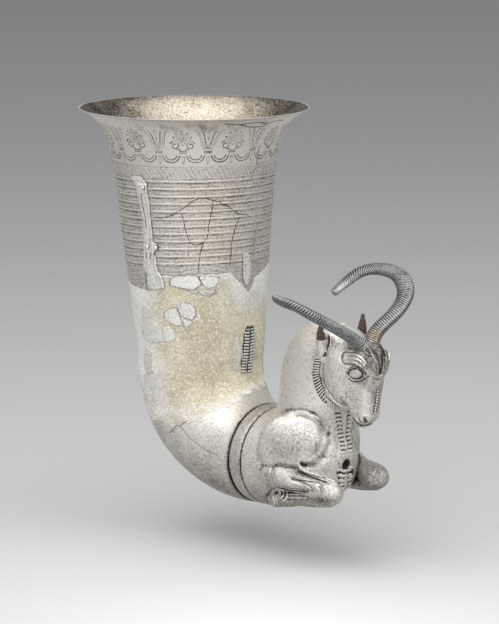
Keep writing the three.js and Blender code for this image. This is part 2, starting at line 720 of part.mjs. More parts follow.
const rhyton = new THREE.Group();
rhyton.name = 'rhyton';

function place(name, body, colour) {
  const material = new THREE.MeshStandardMaterial({ color: colour, metalness: 0.7, roughness: 0.4 });
  const mesh = new THREE.Mesh(geometryOf(body.simplify(SLIVER)), material);
  mesh.name = name;
  rhyton.add(mesh);
}

place('beaker_wall', beakerWall(rivetHoles), SILVER);
place('fill_shell', fillShell, FILL);
place('elbow_shell', elbowShell, SILVER);
Object.entries(fragmentBodies).forEach(([name, body]) => place(name, body, SILVER));
place('strap_long', longStrap, SILVER);
place('strap_short', shortStrap, SILVER);
rivets.forEach((body, i) => place(`strap_rivet_${i + 1}`, body, SILVER));
place('joint_sleeve', sleeve, GILT);
place('protome_shell', protome, SILVER);
place('spout_ring', spoutRing, SILVER);
place('head_shell', head, SILVER);
place('ruff_strip', ruff, SILVER);
place('antelope_horn_right', horns[0], DARK_SILVER);
place('antelope_horn_left', horns[1], DARK_SILVER);
place('ear_right', ears[0], CORROSION);
place('ear_left', ears[1], CORROSION);
place('foreleg_right', legRight, SILVER);
place('foreleg_left', legLeft, SILVER);

export default rhyton;
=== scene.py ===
"""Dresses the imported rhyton: a silver drinking horn that ends in the forepart of an antelope."""
import math

import bmesh
import bpy
import numpy as np
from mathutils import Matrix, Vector
from mathutils.bvhtree import BVHTree


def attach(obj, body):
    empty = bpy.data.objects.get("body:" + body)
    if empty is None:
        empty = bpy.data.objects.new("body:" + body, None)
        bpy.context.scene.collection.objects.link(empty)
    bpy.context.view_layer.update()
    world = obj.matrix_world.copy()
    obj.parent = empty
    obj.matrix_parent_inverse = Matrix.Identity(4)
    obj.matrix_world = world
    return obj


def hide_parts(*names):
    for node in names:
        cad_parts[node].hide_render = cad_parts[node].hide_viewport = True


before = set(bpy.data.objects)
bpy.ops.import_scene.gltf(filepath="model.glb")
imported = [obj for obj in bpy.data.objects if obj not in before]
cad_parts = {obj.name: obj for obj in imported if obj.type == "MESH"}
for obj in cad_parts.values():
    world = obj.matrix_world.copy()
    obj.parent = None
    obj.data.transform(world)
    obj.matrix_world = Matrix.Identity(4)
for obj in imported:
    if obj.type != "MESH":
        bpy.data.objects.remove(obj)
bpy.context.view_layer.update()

bl_info = {
    "name": "Rhyton dresser",
    "version": (1, 0, 0),
    "blender": (4, 5, 0),
    "location": "View3D > Sidebar > Rhyton",
    "description": "Builds the visible silver, fill and ornament of a rhyton around its packed solids",
    "category": "Object",
}

# Lengths in the script are millimetres; a mesh is written in metres.
MM = 0.001

# The horn: an easy arc down from the mouth, then the elbow, level at the joint. The outside of the bend is
# fuller than the solids'.
UPPER_LENGTH = 157.0
UPPER_LEAN = math.radians(5.5)
ELBOW_BEND = 58.0
TAIL_STRAIGHT = 4.4
TAIL_RADIUS = 31.0
THROAT_RADIUS = 54.4
LIP_FLARE = 18.3
LIP_FLARE_LENGTH = 8.8
WAIST_AT = 188.0
WAIST_SPREAD = 34.0
WAIST_MEAN = 1.4
WAIST_SWAY = -4.3
JOINT_HALF = 6.3
JOINT_HEIGHT = 30.5
SHEET = 1.4
UPPER_BEND = UPPER_LENGTH / UPPER_LEAN
ELBOW_LENGTH = ELBOW_BEND * (math.pi / 2 - UPPER_LEAN)
HORN_LENGTH = UPPER_LENGTH + ELBOW_LENGTH + TAIL_STRAIGHT
ELBOW_X = -JOINT_HALF - TAIL_STRAIGHT - ELBOW_BEND * math.cos(UPPER_LEAN)
ELBOW_Z = JOINT_HEIGHT + ELBOW_BEND * (1 - math.sin(UPPER_LEAN))
MOUTH_X = ELBOW_X - UPPER_BEND * (1 - math.cos(UPPER_LEAN))
MOUTH_Z = ELBOW_Z + UPPER_BEND * math.sin(UPPER_LEAN)

# The vessel is laid out flat before it is wrapped on the horn:
# X round it, Y up it from the mouth, Z out of it.
UNROLL = 50.0

# Broken edges of the beaker and of the elbow: degrees round the horn, millimetres below the mouth.
WALL_EDGE = [(7, 115.6), (14, 106), (39, 99.5), (90, 106), (130, 101), (180, 108), (215, 102), (250, 109),
             (277, 111), (291, 100.5), (304, 101.5), (321, 100.4), (340, 101.2), (347, 100.4)]
ELBOW_EDGE = [(19, 201), (47, 187), (90, 184), (130, 178), (180, 174), (233, 177), (243, 181), (288, 200),
              (316, 210), (342, 216)]

# The animal's sections: x, z, pitch in degrees, half width, half height.
BARREL = [(JOINT_HALF, JOINT_HEIGHT, 0, 31, 31), (20, 31.8, 1, 31, 30.8), (34, 35, 5, 29.5, 28.8),
          (48, 38, 8, 25, 26), (58, 39, 10, 18.5, 22.5), (64.5, 39.5, 10, 11.5, 16), (67.5, 40, 10, 4.5, 7)]
NECK = [(40, 40, 90, 22, 26), (40, 58, 89, 20.5, 26.5), (40.5, 74, 84, 19.3, 26),
        (43.5, 91, 64, 18.4, 25.5), (51, 100.5, 36, 17.4, 23.2), (59.5, 101.3, 9, 16, 21.3),
        (65, 100, 2, 15.5, 21.5)]
HEAD = [(65, 100, 2, 15.5, 21.5), (71, 97, -8, 15.5, 22.5), (78, 91.5, -30, 14.6, 21.5),
        (82.5, 84, -52, 12, 17), (84.5, 76.5, -60, 8.8, 12.6), (85.5, 70.5, -64, 7.6, 10.2),
        (86, 66, -68, 6.6, 8), (86, 62.8, -70, 3.6, 4.4)]
# Rounder masses of the animal: centre, radii and turn about Z.
FORELOCK = ((88, 0, 101), (10.5, 12.5, 13), 0.0)
SHOULDER = ((42, -20, 46), (22, 9, 19), math.radians(28))
CHEEK = ((73, -10.5, 84), (10, 5.2, 13), 0.15)
# The right foreleg, folded under: x, y, z and radius. The left one mirrors it, higher by its rise.
FOREARM = [(30, -27, 27, 6.2), (42, -26, 27, 7.2), (57, -22, 24.5, 6.3), (70, -19, 22.8, 7.6),
           (75.5, -18.6, 22, 7.4), (80, -18.4, 21.5, 3)]
CANNON = [(74, -18.6, 18.5, 5), (62, -19, 15.5, 4.2), (48, -20, 14, 4.2), (40, -20.5, 12.2, 4.6),
          (35, -20.7, 11.2, 4), (29, -21, 10.6, 5), (25, -21, 10.4, 3.5)]
LEFT_KNEE_RISE = 4.7
# The pouring hole in the chest.
SPOUT_BORE = 3.3
SPOUT_HEIGHT = 36.0
CHEST_X = 65.0

# The view the ornament was drawn in: from the front quarter, 0.62 mm to the unit at the joint.
VIEW_TURN = math.radians(50)
VIEW_DIP = math.radians(10.16)
VIEW_DISTANCE = 1850.0
VIEW_FOCUS = 2980.0
VIEW_SIZE = (499, 624)
VIEW_FOOT = (272.5, 501.8)
BACK = np.array([math.sin(VIEW_TURN) * math.cos(VIEW_DIP), -math.cos(VIEW_TURN) * math.cos(VIEW_DIP),
                 math.sin(VIEW_DIP)])
RIGHT = np.array([math.cos(VIEW_TURN), math.sin(VIEW_TURN), 0.0])
UP = np.cross(BACK, RIGHT)
UNIT = VIEW_DISTANCE / VIEW_FOCUS
AIM = (VIEW_SIZE[0] / 2 - VIEW_FOOT[0]) * UNIT * RIGHT + (VIEW_FOOT[1] - VIEW_SIZE[1] / 2) * UNIT * UP
EYE = AIM + VIEW_DISTANCE * BACK

# Start of the random draws.
SEED = 7
# A distance that counts as far from a form or a line.
FAR = 60.0
# Points closer than the first are one point; edges shorter than the second are none.
WELD = 0.004
WELD_EDGE = 0.001
BOTH_SIDES = (1, -1)
NEAR_SIDE = (1,)
UPRIGHT = (0.0, 0.0, 1.0)
SILVER_SLOT = "silver_sheet"
# The finished pieces, whose points are gathered at the end.
PIECES = []


def length_setting(name, description, default):
    """A length in metres for the panel."""
    return bpy.props.FloatProperty(name=name, description=description, default=default, unit="LENGTH")


def count_setting(name, description, default, least):
    """A number of repeats for the panel."""
    return bpy.props.IntProperty(name=name, description=description, default=default, min=least)


def colour_setting(name, description, default):
    """A colour for the panel, as sRGB hex."""
    return bpy.props.StringProperty(name=name, description=description, default=default)


class RhytonVessel(bpy.types.PropertyGroup):
    """Sizes of the ornament on the drinking horn"""

    ridge_relief: length_setting("Ridge relief", "Height of the level ridges", 0.00055)
    ridge_wobble: length_setting("Ridge wobble", "How far the hand-drawn ridges stray", 0.0003)
    unevenness: length_setting("Unevenness", "Shallow dents in the old sheet", 0.0004)
    motif_pairs: count_setting("Motif pairs", "Palmettes and lotuses round the frieze", 11, 3)
    cable_strands: count_setting("Cable strands", "Slanted strands in the cable band", 104, 12)
    feather_bars: count_setting("Feather bars", "Bars in each column of the feather fragment", 16, 4)


class RhytonForepart(bpy.types.PropertyGroup):
    """Sizes of the animal's ornament"""

    body_grain: length_setting("Body grain", "Size of the cells that the body is modelled with", 0.00085)
    head_grain: length_setting("Head grain", "Size of the cells that the head is modelled with", 0.00055)
    horn_ribs: count_setting("Horn ribs", "Ribs along each horn", 70, 8)
    horn_rib_relief: length_setting("Horn rib relief", "Depth of the ribs", 0.0006)
    ruff_tongues: count_setting("Ruff tongues", "Tongues in the ruff behind the jaw", 50, 8)
    mane_curls: count_setting("Mane curls", "Curls in each row of the chest mane", 11, 4)


class RhytonFinish(bpy.types.PropertyGroup):
    """Colours of the metals, the fill and the studio"""

    silver: colour_setting("Silver", "Bright silver, sRGB hex", "dcd8d1")
    # The dark colour that both tarnish and painted shade mix the silver towards.
    tarnish: colour_setting("Tarnish", "Dark sulphide film, sRGB hex", "3d3935")
    horn_silver: colour_setting("Horn silver", "Greyer silver of the horns", "a2a4a4")
    horn_dark: colour_setting("Horn hollows", "Dark hollows of the horns", "242322")
    repair: colour_setting("Repair silver", "Bright straps and fragments", "eeece8")
    warm: colour_setting("Warm silver", "Creamy film on some of the silver", "d9c8ab")
    gilt: colour_setting("Gilt", "Traces of gilding", "b08f45")
    fill: colour_setting("Fill", "Restoration fill", "cbc4b0")
    fill_grey: colour_setting("Dark smear", "Dark grains where the fill is grey", "acaaa5")
    fill_pale: colour_setting("Pale smear", "Pale grains where the fill is grey", "d4d2ce")
    fill_dark: colour_setting("Fill grains", "Olive grains in the fill", "948b70")
    fill_light: colour_setting("Fill sparks", "Pale grains in the fill", "ece8dd")
    corrosion: colour_setting("Corrosion", "Brown copper corrosion", "59473c")
    corrosion_pit: colour_setting("Corrosion pits", "Dark pits of the corrosion", "3f2c22")
    floor: colour_setting("Floor", "Pale floor under the object", "e6e6e6")


def linear(hex_colour):
    """sRGB hex to the linear colour that a shader takes."""
    parts = [int(hex_colour[i:i + 2], 16) / 255 for i in (0, 2, 4)]
    return [p / 12.92 if p <= 0.04045 else ((p + 0.055) / 1.055) ** 2.4 for p in parts] + [1.0]


def add(tree, kind, inputs=None, out=0, **settings):
    """Adds one node, sets it up, links or fills its inputs, and returns one of its outputs."""
    node = tree.nodes.new(kind)
    for name, value in settings.items():
        setattr(node, name, value)
    for key, value in (inputs or {}).items():
        if isinstance(value, bpy.types.NodeSocket):
            tree.links.new(value, node.inputs[key])
        else:
            node.inputs[key].default_value = value
    return node.outputs[out] if len(node.outputs) else node


def reckon(tree, known, steps):
    """Adds the Math nodes of a worked sum, one for each step: its name, operation and terms."""
    for name, operation, *terms in steps:
        inputs = {place: known.get(term, term) for place, term in enumerate(terms)}
        known[name] = add(tree, "ShaderNodeMath", inputs, operation=operation)
    return known


def new_material(name):
    """A material with an empty tree, that tree, and the place on the object."""
    material = bpy.data.materials.new(name)
    material.use_nodes = True
    tree = material.node_tree
    tree.nodes.clear()
    return material, tree, add(tree, "ShaderNodeTexCoord", out="Object")


def noise(tree, place, size, detail, roughness=0.5):
    """Cloudy noise with patches of about this size in metres."""
    return add(tree, "ShaderNodeTexNoise", {
        "Vector": place, "Scale": 1 / size, "Detail": detail, "Roughness": roughness})


def point_mark(tree, name):
    """A value that is stored on the points of a mesh."""
    return add(tree, "ShaderNodeAttribute", out="Fac", attribute_name=name)


def mix(tree, share, low, high):
    """The low colour where the share is 0, the high one where it is 1."""
    return add(tree, "ShaderNodeMix", {0: share, 6: low, 7: high}, out=2, data_type="RGBA")


def end_material(tree, colour, roughness, more):
    """Ends a material with one shader."""
    shader = add(tree, "ShaderNodeBsdfPrincipled", {"Base Color": colour, "Roughness": roughness, **more})
    add(tree, "ShaderNodeOutputMaterial", {0: shader})


def bump(tree, strength, depth, height):
    """A rough skin, its depth in millimetres."""
    return add(tree, "ShaderNodeBump", {"Strength": strength, "Distance": depth * MM, "Height": height})


def hump(x, middle, reach):
    """A bell curve: 1 at its middle, and fading within its reach."""
    return np.exp(-((x - middle) / reach) ** 2)


def to_unit(rows):
    """Directions of length one."""
    return rows / np.maximum(np.linalg.norm(rows, axis=-1), 1e-6)[..., None]


def full_turn(count):
    """Even steps round a circle, in radians."""
    return np.linspace(0, 2 * math.pi, count + 1)[:-1]


def smooth_path(points, count):
    """Even samples of a smooth curve through the points."""
    points = np.asarray(points, float)
    ends = np.vstack([2 * points[0] - points[1], points, 2 * points[-1] - points[-2]])
    spans = len(points) - 1
    along = np.linspace(0, spans, max(4 * count, 16 * spans))
    start = np.minimum(along.astype(int), spans - 1)
    share = (along - start)[:, None]
    a, b, c, d = (ends[start + step] for step in range(4))
    curve = 0.5 * (2 * b + (c - a) * share + (2 * a - 5 * b + 4 * c - d) * share ** 2
                   + (3 * b - a - 3 * c + d) * share ** 3)
    run = np.concatenate([[0], np.cumsum(np.linalg.norm(np.diff(curve, axis=0), axis=1))])
    return np.stack([np.interp(np.linspace(0, run[-1], count), run, column) for column in curve.T], 1)


def grid_faces(rows, columns, ring=False, loop=False):
    """Quads of a grid; ring closes its columns and loop its rows."""
    i, j = np.meshgrid(np.arange(rows - (not loop)), np.arange(columns - (not ring)), indexing="ij")
    i, j = i.ravel(), j.ravel()
    up, on = (i + 1) % rows, (j + 1) % columns
    return np.stack([i * columns + j, i * columns + on, up * columns + on, up * columns + j], 1)


def joined(parts):
    """One shape from several: each is points, faces and how tarnished each point is."""
    points, faces, marks, count = [], [], [], 0
    for part_points, part_faces, part_marks in parts:
        points.append(part_points)
        faces.append(np.asarray(part_faces) + count)
        marks.append(part_marks)
        count += len(part_points)
    return np.vstack(points), np.vstack(faces), np.concatenate(marks)


def mesh_object(name, points, faces, marks=None, material=None):
    """A mesh object at the origin, with its place in its mesh; marks are point attributes."""
    mesh = bpy.data.meshes.new(name)
    mesh.from_pydata((np.asarray(points) * MM).tolist(), [], np.asarray(faces).tolist())
    for mark, values in (marks or {}).items():
        kind = "FLOAT_VECTOR" if np.ndim(values) == 2 else "FLOAT"
        field = "vector" if np.ndim(values) == 2 else "value"
        layer = mesh.attributes.new(mark, kind, "POINT")
        layer.data.foreach_set(field, np.asarray(values, np.float32).ravel())
    obj = bpy.data.objects.new(name, mesh)
    bpy.context.scene.collection.objects.link(obj)
    if material:
        mesh.materials.append(material)
    return obj


def weld(obj):
    """Closes seams and poles, and shades the piece smooth."""
    work = bmesh.new()
    work.from_mesh(obj.data)
    bmesh.ops.remove_doubles(work, verts=work.verts, dist=WELD * MM)
    bmesh.ops.dissolve_degenerate(work, edges=work.edges, dist=WELD_EDGE * MM)
    work.to_mesh(obj.data)
    work.free()
    obj.data.shade_smooth()
    return obj


def grown(name, source, tree, settings):
    """Runs a Geometry Nodes tree on the source and keeps its result as a plain mesh piece."""
    modifier = source.modifiers.new(tree.name, "NODES")
    modifier.node_group = tree
    sockets = {item.name: item.identifier for item in tree.interface.items_tree if item.in_out == "INPUT"}
    for label, value in settings.items():
        modifier[sockets[label]] = value
    graph = bpy.context.evaluated_depsgraph_get()
    mesh = bpy.data.meshes.new_from_object(source.evaluated_get(graph), depsgraph=graph)
    source.modifiers.clear()
    bpy.data.objects.remove(source)
    mesh.name = name
    mesh.shade_smooth()
    obj = bpy.data.objects.new(name, mesh)
    bpy.context.scene.collection.objects.link(obj)
    return obj


def dress(obj, slot, *nodes):
    """The piece rides on the one body and stands for its solids; its slot is not used."""
    if not obj.data.polygons:
        raise RuntimeError(f"{obj.name} has no faces")
    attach(obj, "root")
    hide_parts(*nodes)
    PIECES.append(obj)
    return obj


def new_tree(name, inputs):
    """A Geometry Nodes tree with a geometry input, named inputs and a geometry output."""
    tree = bpy.data.node_groups.new(name, "GeometryNodeTree")
    tree.interface.new_socket("Geometry", in_out="INPUT", socket_type="NodeSocketGeometry")
    for label, kind in inputs.items():
        tree.interface.new_socket(label, in_out="INPUT", socket_type=f"NodeSocket{kind}")
    tree.interface.new_socket("Geometry", in_out="OUTPUT", socket_type="NodeSocketGeometry")
    entry = tree.nodes.new("NodeGroupInput")
    return tree, entry.outputs


def end_tree(tree, geometry, finish):
    """Gives the geometry its finish and ends the tree with it."""
    finished = add(tree, "GeometryNodeSetMaterial", {"Geometry": geometry, "Material": finish})
    add(tree, "NodeGroupOutput", {0: finished})
    return tree


def stored(tree, name, kind):
    """Reads an attribute that is stored on the points."""
    return add(tree, "GeometryNodeInputNamedAttribute", {"Name": name}, data_type=kind)


# Level ridges: depth of the first below the mouth, pitch, number and how narrow their crests are.
RIDGE_START = 41.5
RIDGE_PITCH = 4.75
RIDGE_COUNT = 12
RIDGE_SHARPNESS = 12.0
# Shallow dents: how many come to a radian, and the height that counts as one.
DENT_SCALE = 1.6
DENT_HEIGHT = 22.0


def wrap_nodes(tree, geometry, relief, wobble, unevenness):
    """Wraps a flat layout on the horn, with the level ridges of the beaker."""
    layout = add(tree, "GeometryNodeInputPosition")
    split = add(tree, "ShaderNodeSeparateXYZ", {0: layout}).node.outputs
    known = reckon(tree, {"x": split[0], "y": split[1], "h": split[2]}, [
        ("s", "MULTIPLY", "y", -1.0),
        ("angle", "DIVIDE", "x", UNROLL * MM),
        ("ca", "COSINE", "angle"),
        ("sa", "SINE", "angle"),
        ("tall", "DIVIDE", "s", DENT_HEIGHT * MM),
    ])
    round_horn = add(tree, "ShaderNodeCombineXYZ", {0: known["ca"], 1: known["sa"], 2: known["tall"]})
    stray = add(tree, "ShaderNodeTexNoise", {"Vector": round_horn, "Scale": DENT_SCALE, "Detail": 2.0})
    known.update(relief=relief, wobble=wobble, uneven=unevenness, stray=stray)
    reckon(tree, known, [
        ("off", "SUBTRACT", "stray", 0.5),
        ("upper", "MINIMUM", "s", UPPER_LENGTH * MM),
        ("lean", "DIVIDE", "upper", UPPER_BEND * MM),
        ("past", "SUBTRACT", "s", UPPER_LENGTH * MM),
        ("lower", "MAXIMUM", "past", 0.0),
        ("bent", "MINIMUM", "lower", ELBOW_LENGTH * MM),
        ("bend", "DIVIDE", "bent", ELBOW_BEND * MM),
        ("over", "SUBTRACT", "lower", ELBOW_LENGTH * MM),
        ("straight", "MAXIMUM", "over", 0.0),
        ("turn", "ADD", "lean", "bend"),
        ("elbow", "ADD", "bend", UPPER_LEAN),
        ("cos_lean", "COSINE", "lean"),
        ("sin_lean", "SINE", "lean"),
        ("cos_elbow", "COSINE", "elbow"),
        ("sin_elbow", "SINE", "elbow"),
        ("x_upper", "MULTIPLY_ADD", "cos_lean", -UPPER_BEND * MM, (MOUTH_X + UPPER_BEND) * MM),
        ("x_elbow", "MULTIPLY_ADD", "cos_elbow", -ELBOW_BEND * MM, ELBOW_BEND * math.cos(UPPER_LEAN) * MM),
        ("x_both", "ADD", "x_upper", "x_elbow"),
        ("spine_x", "ADD", "x_both", "straight"),
        ("z_upper", "MULTIPLY_ADD", "sin_lean", -UPPER_BEND * MM, MOUTH_Z * MM),
        ("z_elbow", "MULTIPLY_ADD", "sin_elbow", -ELBOW_BEND * MM, ELBOW_BEND * math.sin(UPPER_LEAN) * MM),
        ("spine_z", "ADD", "z_upper", "z_elbow"),
        ("flare_at", "DIVIDE", "s", -LIP_FLARE_LENGTH * MM),
        ("flare", "EXPONENT", "flare_at"),
        ("waist_at", "SUBTRACT", "s", WAIST_AT * MM),
        ("waist_share", "DIVIDE", "waist_at", WAIST_SPREAD * MM),
        ("waist_square", "MULTIPLY", "waist_share", "waist_share"),
        ("waist_fall", "MULTIPLY", "waist_square", -1.0),
        ("waist", "EXPONENT", "waist_fall"),
        ("taper", "MULTIPLY_ADD", "s", (TAIL_RADIUS - THROAT_RADIUS) / HORN_LENGTH, THROAT_RADIUS * MM),
        ("waist_side", "MULTIPLY_ADD", "ca", WAIST_SWAY * MM, WAIST_MEAN * MM),
        ("waisted", "MULTIPLY_ADD", "waist", "waist_side", "taper"),
        ("flared", "MULTIPLY_ADD", "flare", LIP_FLARE * MM, "waisted"),
        ("raised", "ADD", "flared", "h"),
        ("dented", "MULTIPLY_ADD", "off", "uneven", "raised"),
        ("strayed", "MULTIPLY_ADD", "off", "wobble", "s"),
        ("from_first", "SUBTRACT", "strayed", RIDGE_START * MM),
        ("ridge_at", "DIVIDE", "from_first", RIDGE_PITCH * MM),
        ("nearest", "ROUND", "ridge_at"),
        ("aside", "SUBTRACT", "ridge_at", "nearest"),
        ("away", "ABSOLUTE", "aside"),
        ("close", "MULTIPLY_ADD", "away", -2.0, 1.0),
        ("crest", "POWER", "close", RIDGE_SHARPNESS),
        ("below_first", "GREATER_THAN", "ridge_at", -0.5),
        ("above_last", "LESS_THAN", "ridge_at", RIDGE_COUNT - 0.5),
        ("ridged", "MULTIPLY", "below_first", "above_last"),
        ("ridge", "MULTIPLY", "crest", "ridged"),
        ("radius", "MULTIPLY_ADD", "ridge", "relief", "dented"),
        ("cos_turn", "COSINE", "turn"),
        ("sin_turn", "SINE", "turn"),
        ("inward", "MULTIPLY", "radius", "ca"),
        ("px", "MULTIPLY_ADD", "inward", "cos_turn", "spine_x"),
        ("py", "MULTIPLY", "radius", "sa"),
        ("pz", "MULTIPLY_ADD", "inward", "sin_turn", "spine_z"),
    ])
    place = add(tree, "ShaderNodeCombineXYZ", {0: known["px"], 1: known["py"], 2: known["pz"]})
    wrapped = add(tree, "GeometryNodeSetPosition", {"Geometry": geometry, "Position": place})
    return add(tree, "GeometryNodeMergeByDistance", {"Geometry": wrapped, "Distance": WELD * MM})


def vessel_tree():
    """Geometry Nodes tree that wraps one flat sheet on the horn."""
    tree, entry = new_tree("vessel_sheet", {
        "Relief": "Float", "Wobble": "Float", "Unevenness": "Float", "Finish": "Material"})
    wrapped = wrap_nodes(tree, entry["Geometry"], entry["Relief"], entry["Wobble"], entry["Unevenness"])
    return end_tree(tree, wrapped, entry["Finish"])


def frieze_tree():
    """Geometry Nodes tree that repeats a flat motif along a line and wraps the row on the horn."""
    tree, entry = new_tree("vessel_frieze", {
        "Motif": "Object", "Count": "Int", "Start": "Float", "Unevenness": "Float", "Finish": "Material"})
    known = reckon(tree, {"count": entry["Count"]},
                   [("pitch", "DIVIDE", 2 * math.pi * UNROLL * MM, "count")])
    start = add(tree, "ShaderNodeCombineXYZ", {0: entry["Start"]})
    step = add(tree, "ShaderNodeCombineXYZ", {0: known["pitch"]})
    line = add(tree, "GeometryNodeMeshLine",
               {"Count": entry["Count"], "Start Location": start, "Offset": step})
    motif = add(tree, "GeometryNodeObjectInfo", {"Object": entry["Motif"]}, out="Geometry")
    row = add(tree, "GeometryNodeInstanceOnPoints", {"Points": line, "Instance": motif})
    real = add(tree, "GeometryNodeRealizeInstances", {"Geometry": row})
    wrapped = wrap_nodes(tree, real, 0.0, 0.0, entry["Unevenness"])
    return end_tree(tree, wrapped, entry["Finish"])


def row_tree():
    """Geometry Nodes tree that sets a small piece on each point, by its 'facing' and 'heading'."""
    tree, entry = new_tree("row_of_pieces", {"Piece": "Object", "Finish": "Material"})
    facing = stored(tree, "facing", "FLOAT_VECTOR")
    heading = stored(tree, "heading", "FLOAT_VECTOR")
    size = stored(tree, "size", "FLOAT")
    upright = add(tree, "FunctionNodeAlignRotationToVector", {"Vector": facing}, axis="Z")
    turned = add(tree, "FunctionNodeAlignRotationToVector", {"Rotation": upright, "Vector": heading},
                 axis="X", pivot_axis="Z")
    piece = add(tree, "GeometryNodeObjectInfo", {"Object": entry["Piece"]}, out="Geometry")
    row = add(tree, "GeometryNodeInstanceOnPoints", {
        "Points": entry["Geometry"], "Instance": piece, "Rotation": turned, "Scale": size})
    real = add(tree, "GeometryNodeRealizeInstances", {"Geometry": row})
    return end_tree(tree, real, entry["Finish"])


# Corners of a horn's round, and the power by which its thickness falls along it.
HORN_CORNERS = 40
HORN_THINNING = 0.8
# The keel's sharpness, and its height beside a rib's.
KEEL_SHARPNESS = 170.0
KEEL_HEIGHT = 1.3
# How far a rib strays each way on its round, counted in ribs, and how steep its sides are.
RIB_SLANT = 1.5
RIB_STEEPNESS = 0.8
# The ribs fade into the plain tip as level less slope times the share of the length goes from 1 to 0.
RIB_FADE_LEVEL = 13.4
RIB_FADE_SLOPE = 14.0


def horn_tree():
    """Geometry Nodes tree for a ribbed horn along a curve, with a smooth keel and a plain tip."""
    tree, entry = new_tree("ribbed_horn", {
        "Ribs": "Int", "Relief": "Float", "Across": "Vector", "Keel": "Float", "Finish": "Material"})
    marked = entry["Geometry"]
    noted = {"along": ("FLOAT", add(tree, "GeometryNodeSplineParameter")),
             "width": ("FLOAT", add(tree, "GeometryNodeInputRadius")),
             "centre": ("FLOAT_VECTOR", add(tree, "GeometryNodeInputPosition")),
             "ahead": ("FLOAT_VECTOR", add(tree, "GeometryNodeInputTangent"))}
    for label, (kind, value) in noted.items():
        marked = add(tree, "GeometryNodeStoreNamedAttribute",
                     {"Geometry": marked, "Name": label, "Value": value},
                     data_type=kind, domain="POINT")
    profile = add(tree, "GeometryNodeCurvePrimitiveCircle", {"Resolution": HORN_CORNERS, "Radius": 1.0})
    bulk = add(tree, "GeometryNodeInputRadius")
    tube = add(tree, "GeometryNodeCurveToMesh", {
        "Curve": marked, "Profile Curve": profile, "Scale": bulk, "Fill Caps": True})
    read = {label: stored(tree, label, kind) for label, (kind, _) in noted.items()}
    place = add(tree, "GeometryNodeInputPosition")
    reach = add(tree, "ShaderNodeVectorMath", {0: place, 1: read["centre"]}, operation="SUBTRACT")
    outer = add(tree, "ShaderNodeVectorMath", {0: read["ahead"], 1: entry["Across"]},
                operation="CROSS_PRODUCT")
    known = {
        "along": read["along"], "width": read["width"], "ribs": entry["Ribs"], "relief": entry["Relief"],
        "keel": entry["Keel"],
        "to_outer": add(tree, "ShaderNodeVectorMath", {0: reach, 1: outer}, out="Value",
                        operation="DOT_PRODUCT"),
        "to_face": add(tree, "ShaderNodeVectorMath", {0: reach, 1: entry["Across"]}, out="Value",
                       operation="DOT_PRODUCT"),
    }
    reckon(tree, known, [
        ("outer_share", "DIVIDE", "to_outer", "width"),
        ("face_share", "DIVIDE", "to_face", "width"),
        ("outer_part", "MULTIPLY", "outer_share", KEEL_OUTER),
        ("cos_at", "MULTIPLY_ADD", "face_share", "keel", "outer_part"),
        ("cos_around", "MINIMUM", "cos_at", 1.0),
        ("thin_at", "POWER", "along", HORN_THINNING),
        ("thick", "MULTIPLY_ADD", "thin_at", (HORN_TIP_THICK - HORN_BASE_THICK) * MM, HORN_BASE_THICK * MM),
        ("flat", "DIVIDE", "thick", "width"),
        ("flat_cut", "MINIMUM", "flat", 1.0),
        ("flat_less", "SUBTRACT", "flat_cut", 1.0),
        ("pressed", "MULTIPLY", "to_face", "flat_less"),
        ("keel_near", "MULTIPLY_ADD", "cos_around", 0.5, 0.5),
        ("keel_mask", "POWER", "keel_near", KEEL_SHARPNESS),
        ("open_mask", "SUBTRACT", 1.0, "keel_mask"),
        ("chevron", "MULTIPLY", "cos_around", RIB_SLANT),
        ("count", "MULTIPLY_ADD", "along", "ribs", "chevron"),
        ("wave_at", "MULTIPLY", "count", 2 * math.pi),
        ("wave", "SINE", "wave_at"),
        ("lifted_at", "MULTIPLY_ADD", "wave", RIB_STEEPNESS, 0.5),
        ("lifted_low", "MAXIMUM", "lifted_at", 0.0),
        ("lifted", "MINIMUM", "lifted_low", 1.0),
        ("tip_left", "MULTIPLY_ADD", "along", -RIB_FADE_SLOPE, RIB_FADE_LEVEL),
        ("tip_more", "MAXIMUM", "tip_left", 0.0),
        ("ribbed", "MINIMUM", "tip_more", 1.0),
        ("shown", "MULTIPLY", "lifted", "open_mask"),
        ("rib", "MULTIPLY", "shown", "ribbed"),
        ("swell", "MULTIPLY_ADD", "keel_mask", KEEL_HEIGHT, "rib"),
        ("offset", "MULTIPLY", "swell", "relief"),
        ("hollow", "SUBTRACT", 1.0, "lifted"),
        ("dark", "MULTIPLY", "hollow", "open_mask"),
        ("dark_ribs", "MULTIPLY", "dark", "ribbed"),
    ])
    out_of_it = add(tree, "GeometryNodeInputNormal")
    shift = add(tree, "ShaderNodeVectorMath", {0: out_of_it, "Scale": known["offset"]}, operation="SCALE")
    stained = add(tree, "GeometryNodeStoreNamedAttribute", {
        "Geometry": tube, "Name": "tarnish", "Value": known["dark_ribs"]}, data_type="FLOAT",
        domain="POINT")
    raised = add(tree, "GeometryNodeSetPosition", {"Geometry": stained, "Offset": shift})
    squeeze = add(tree, "ShaderNodeVectorMath", {0: entry["Across"], "Scale": known["pressed"]},
                  operation="SCALE")
    pressed = add(tree, "GeometryNodeSetPosition", {"Geometry": raised, "Offset": squeeze})
    return end_tree(tree, pressed, entry["Finish"])


# Sizes of what the materials show, in metres: clouds of film, pits, hammer marks and grains of grit.
CLOUD_SIZE = 0.016
PIT_SIZE = 0.0012
HAMMER_SIZE = 0.006
GRAIN_SIZE = 0.0008


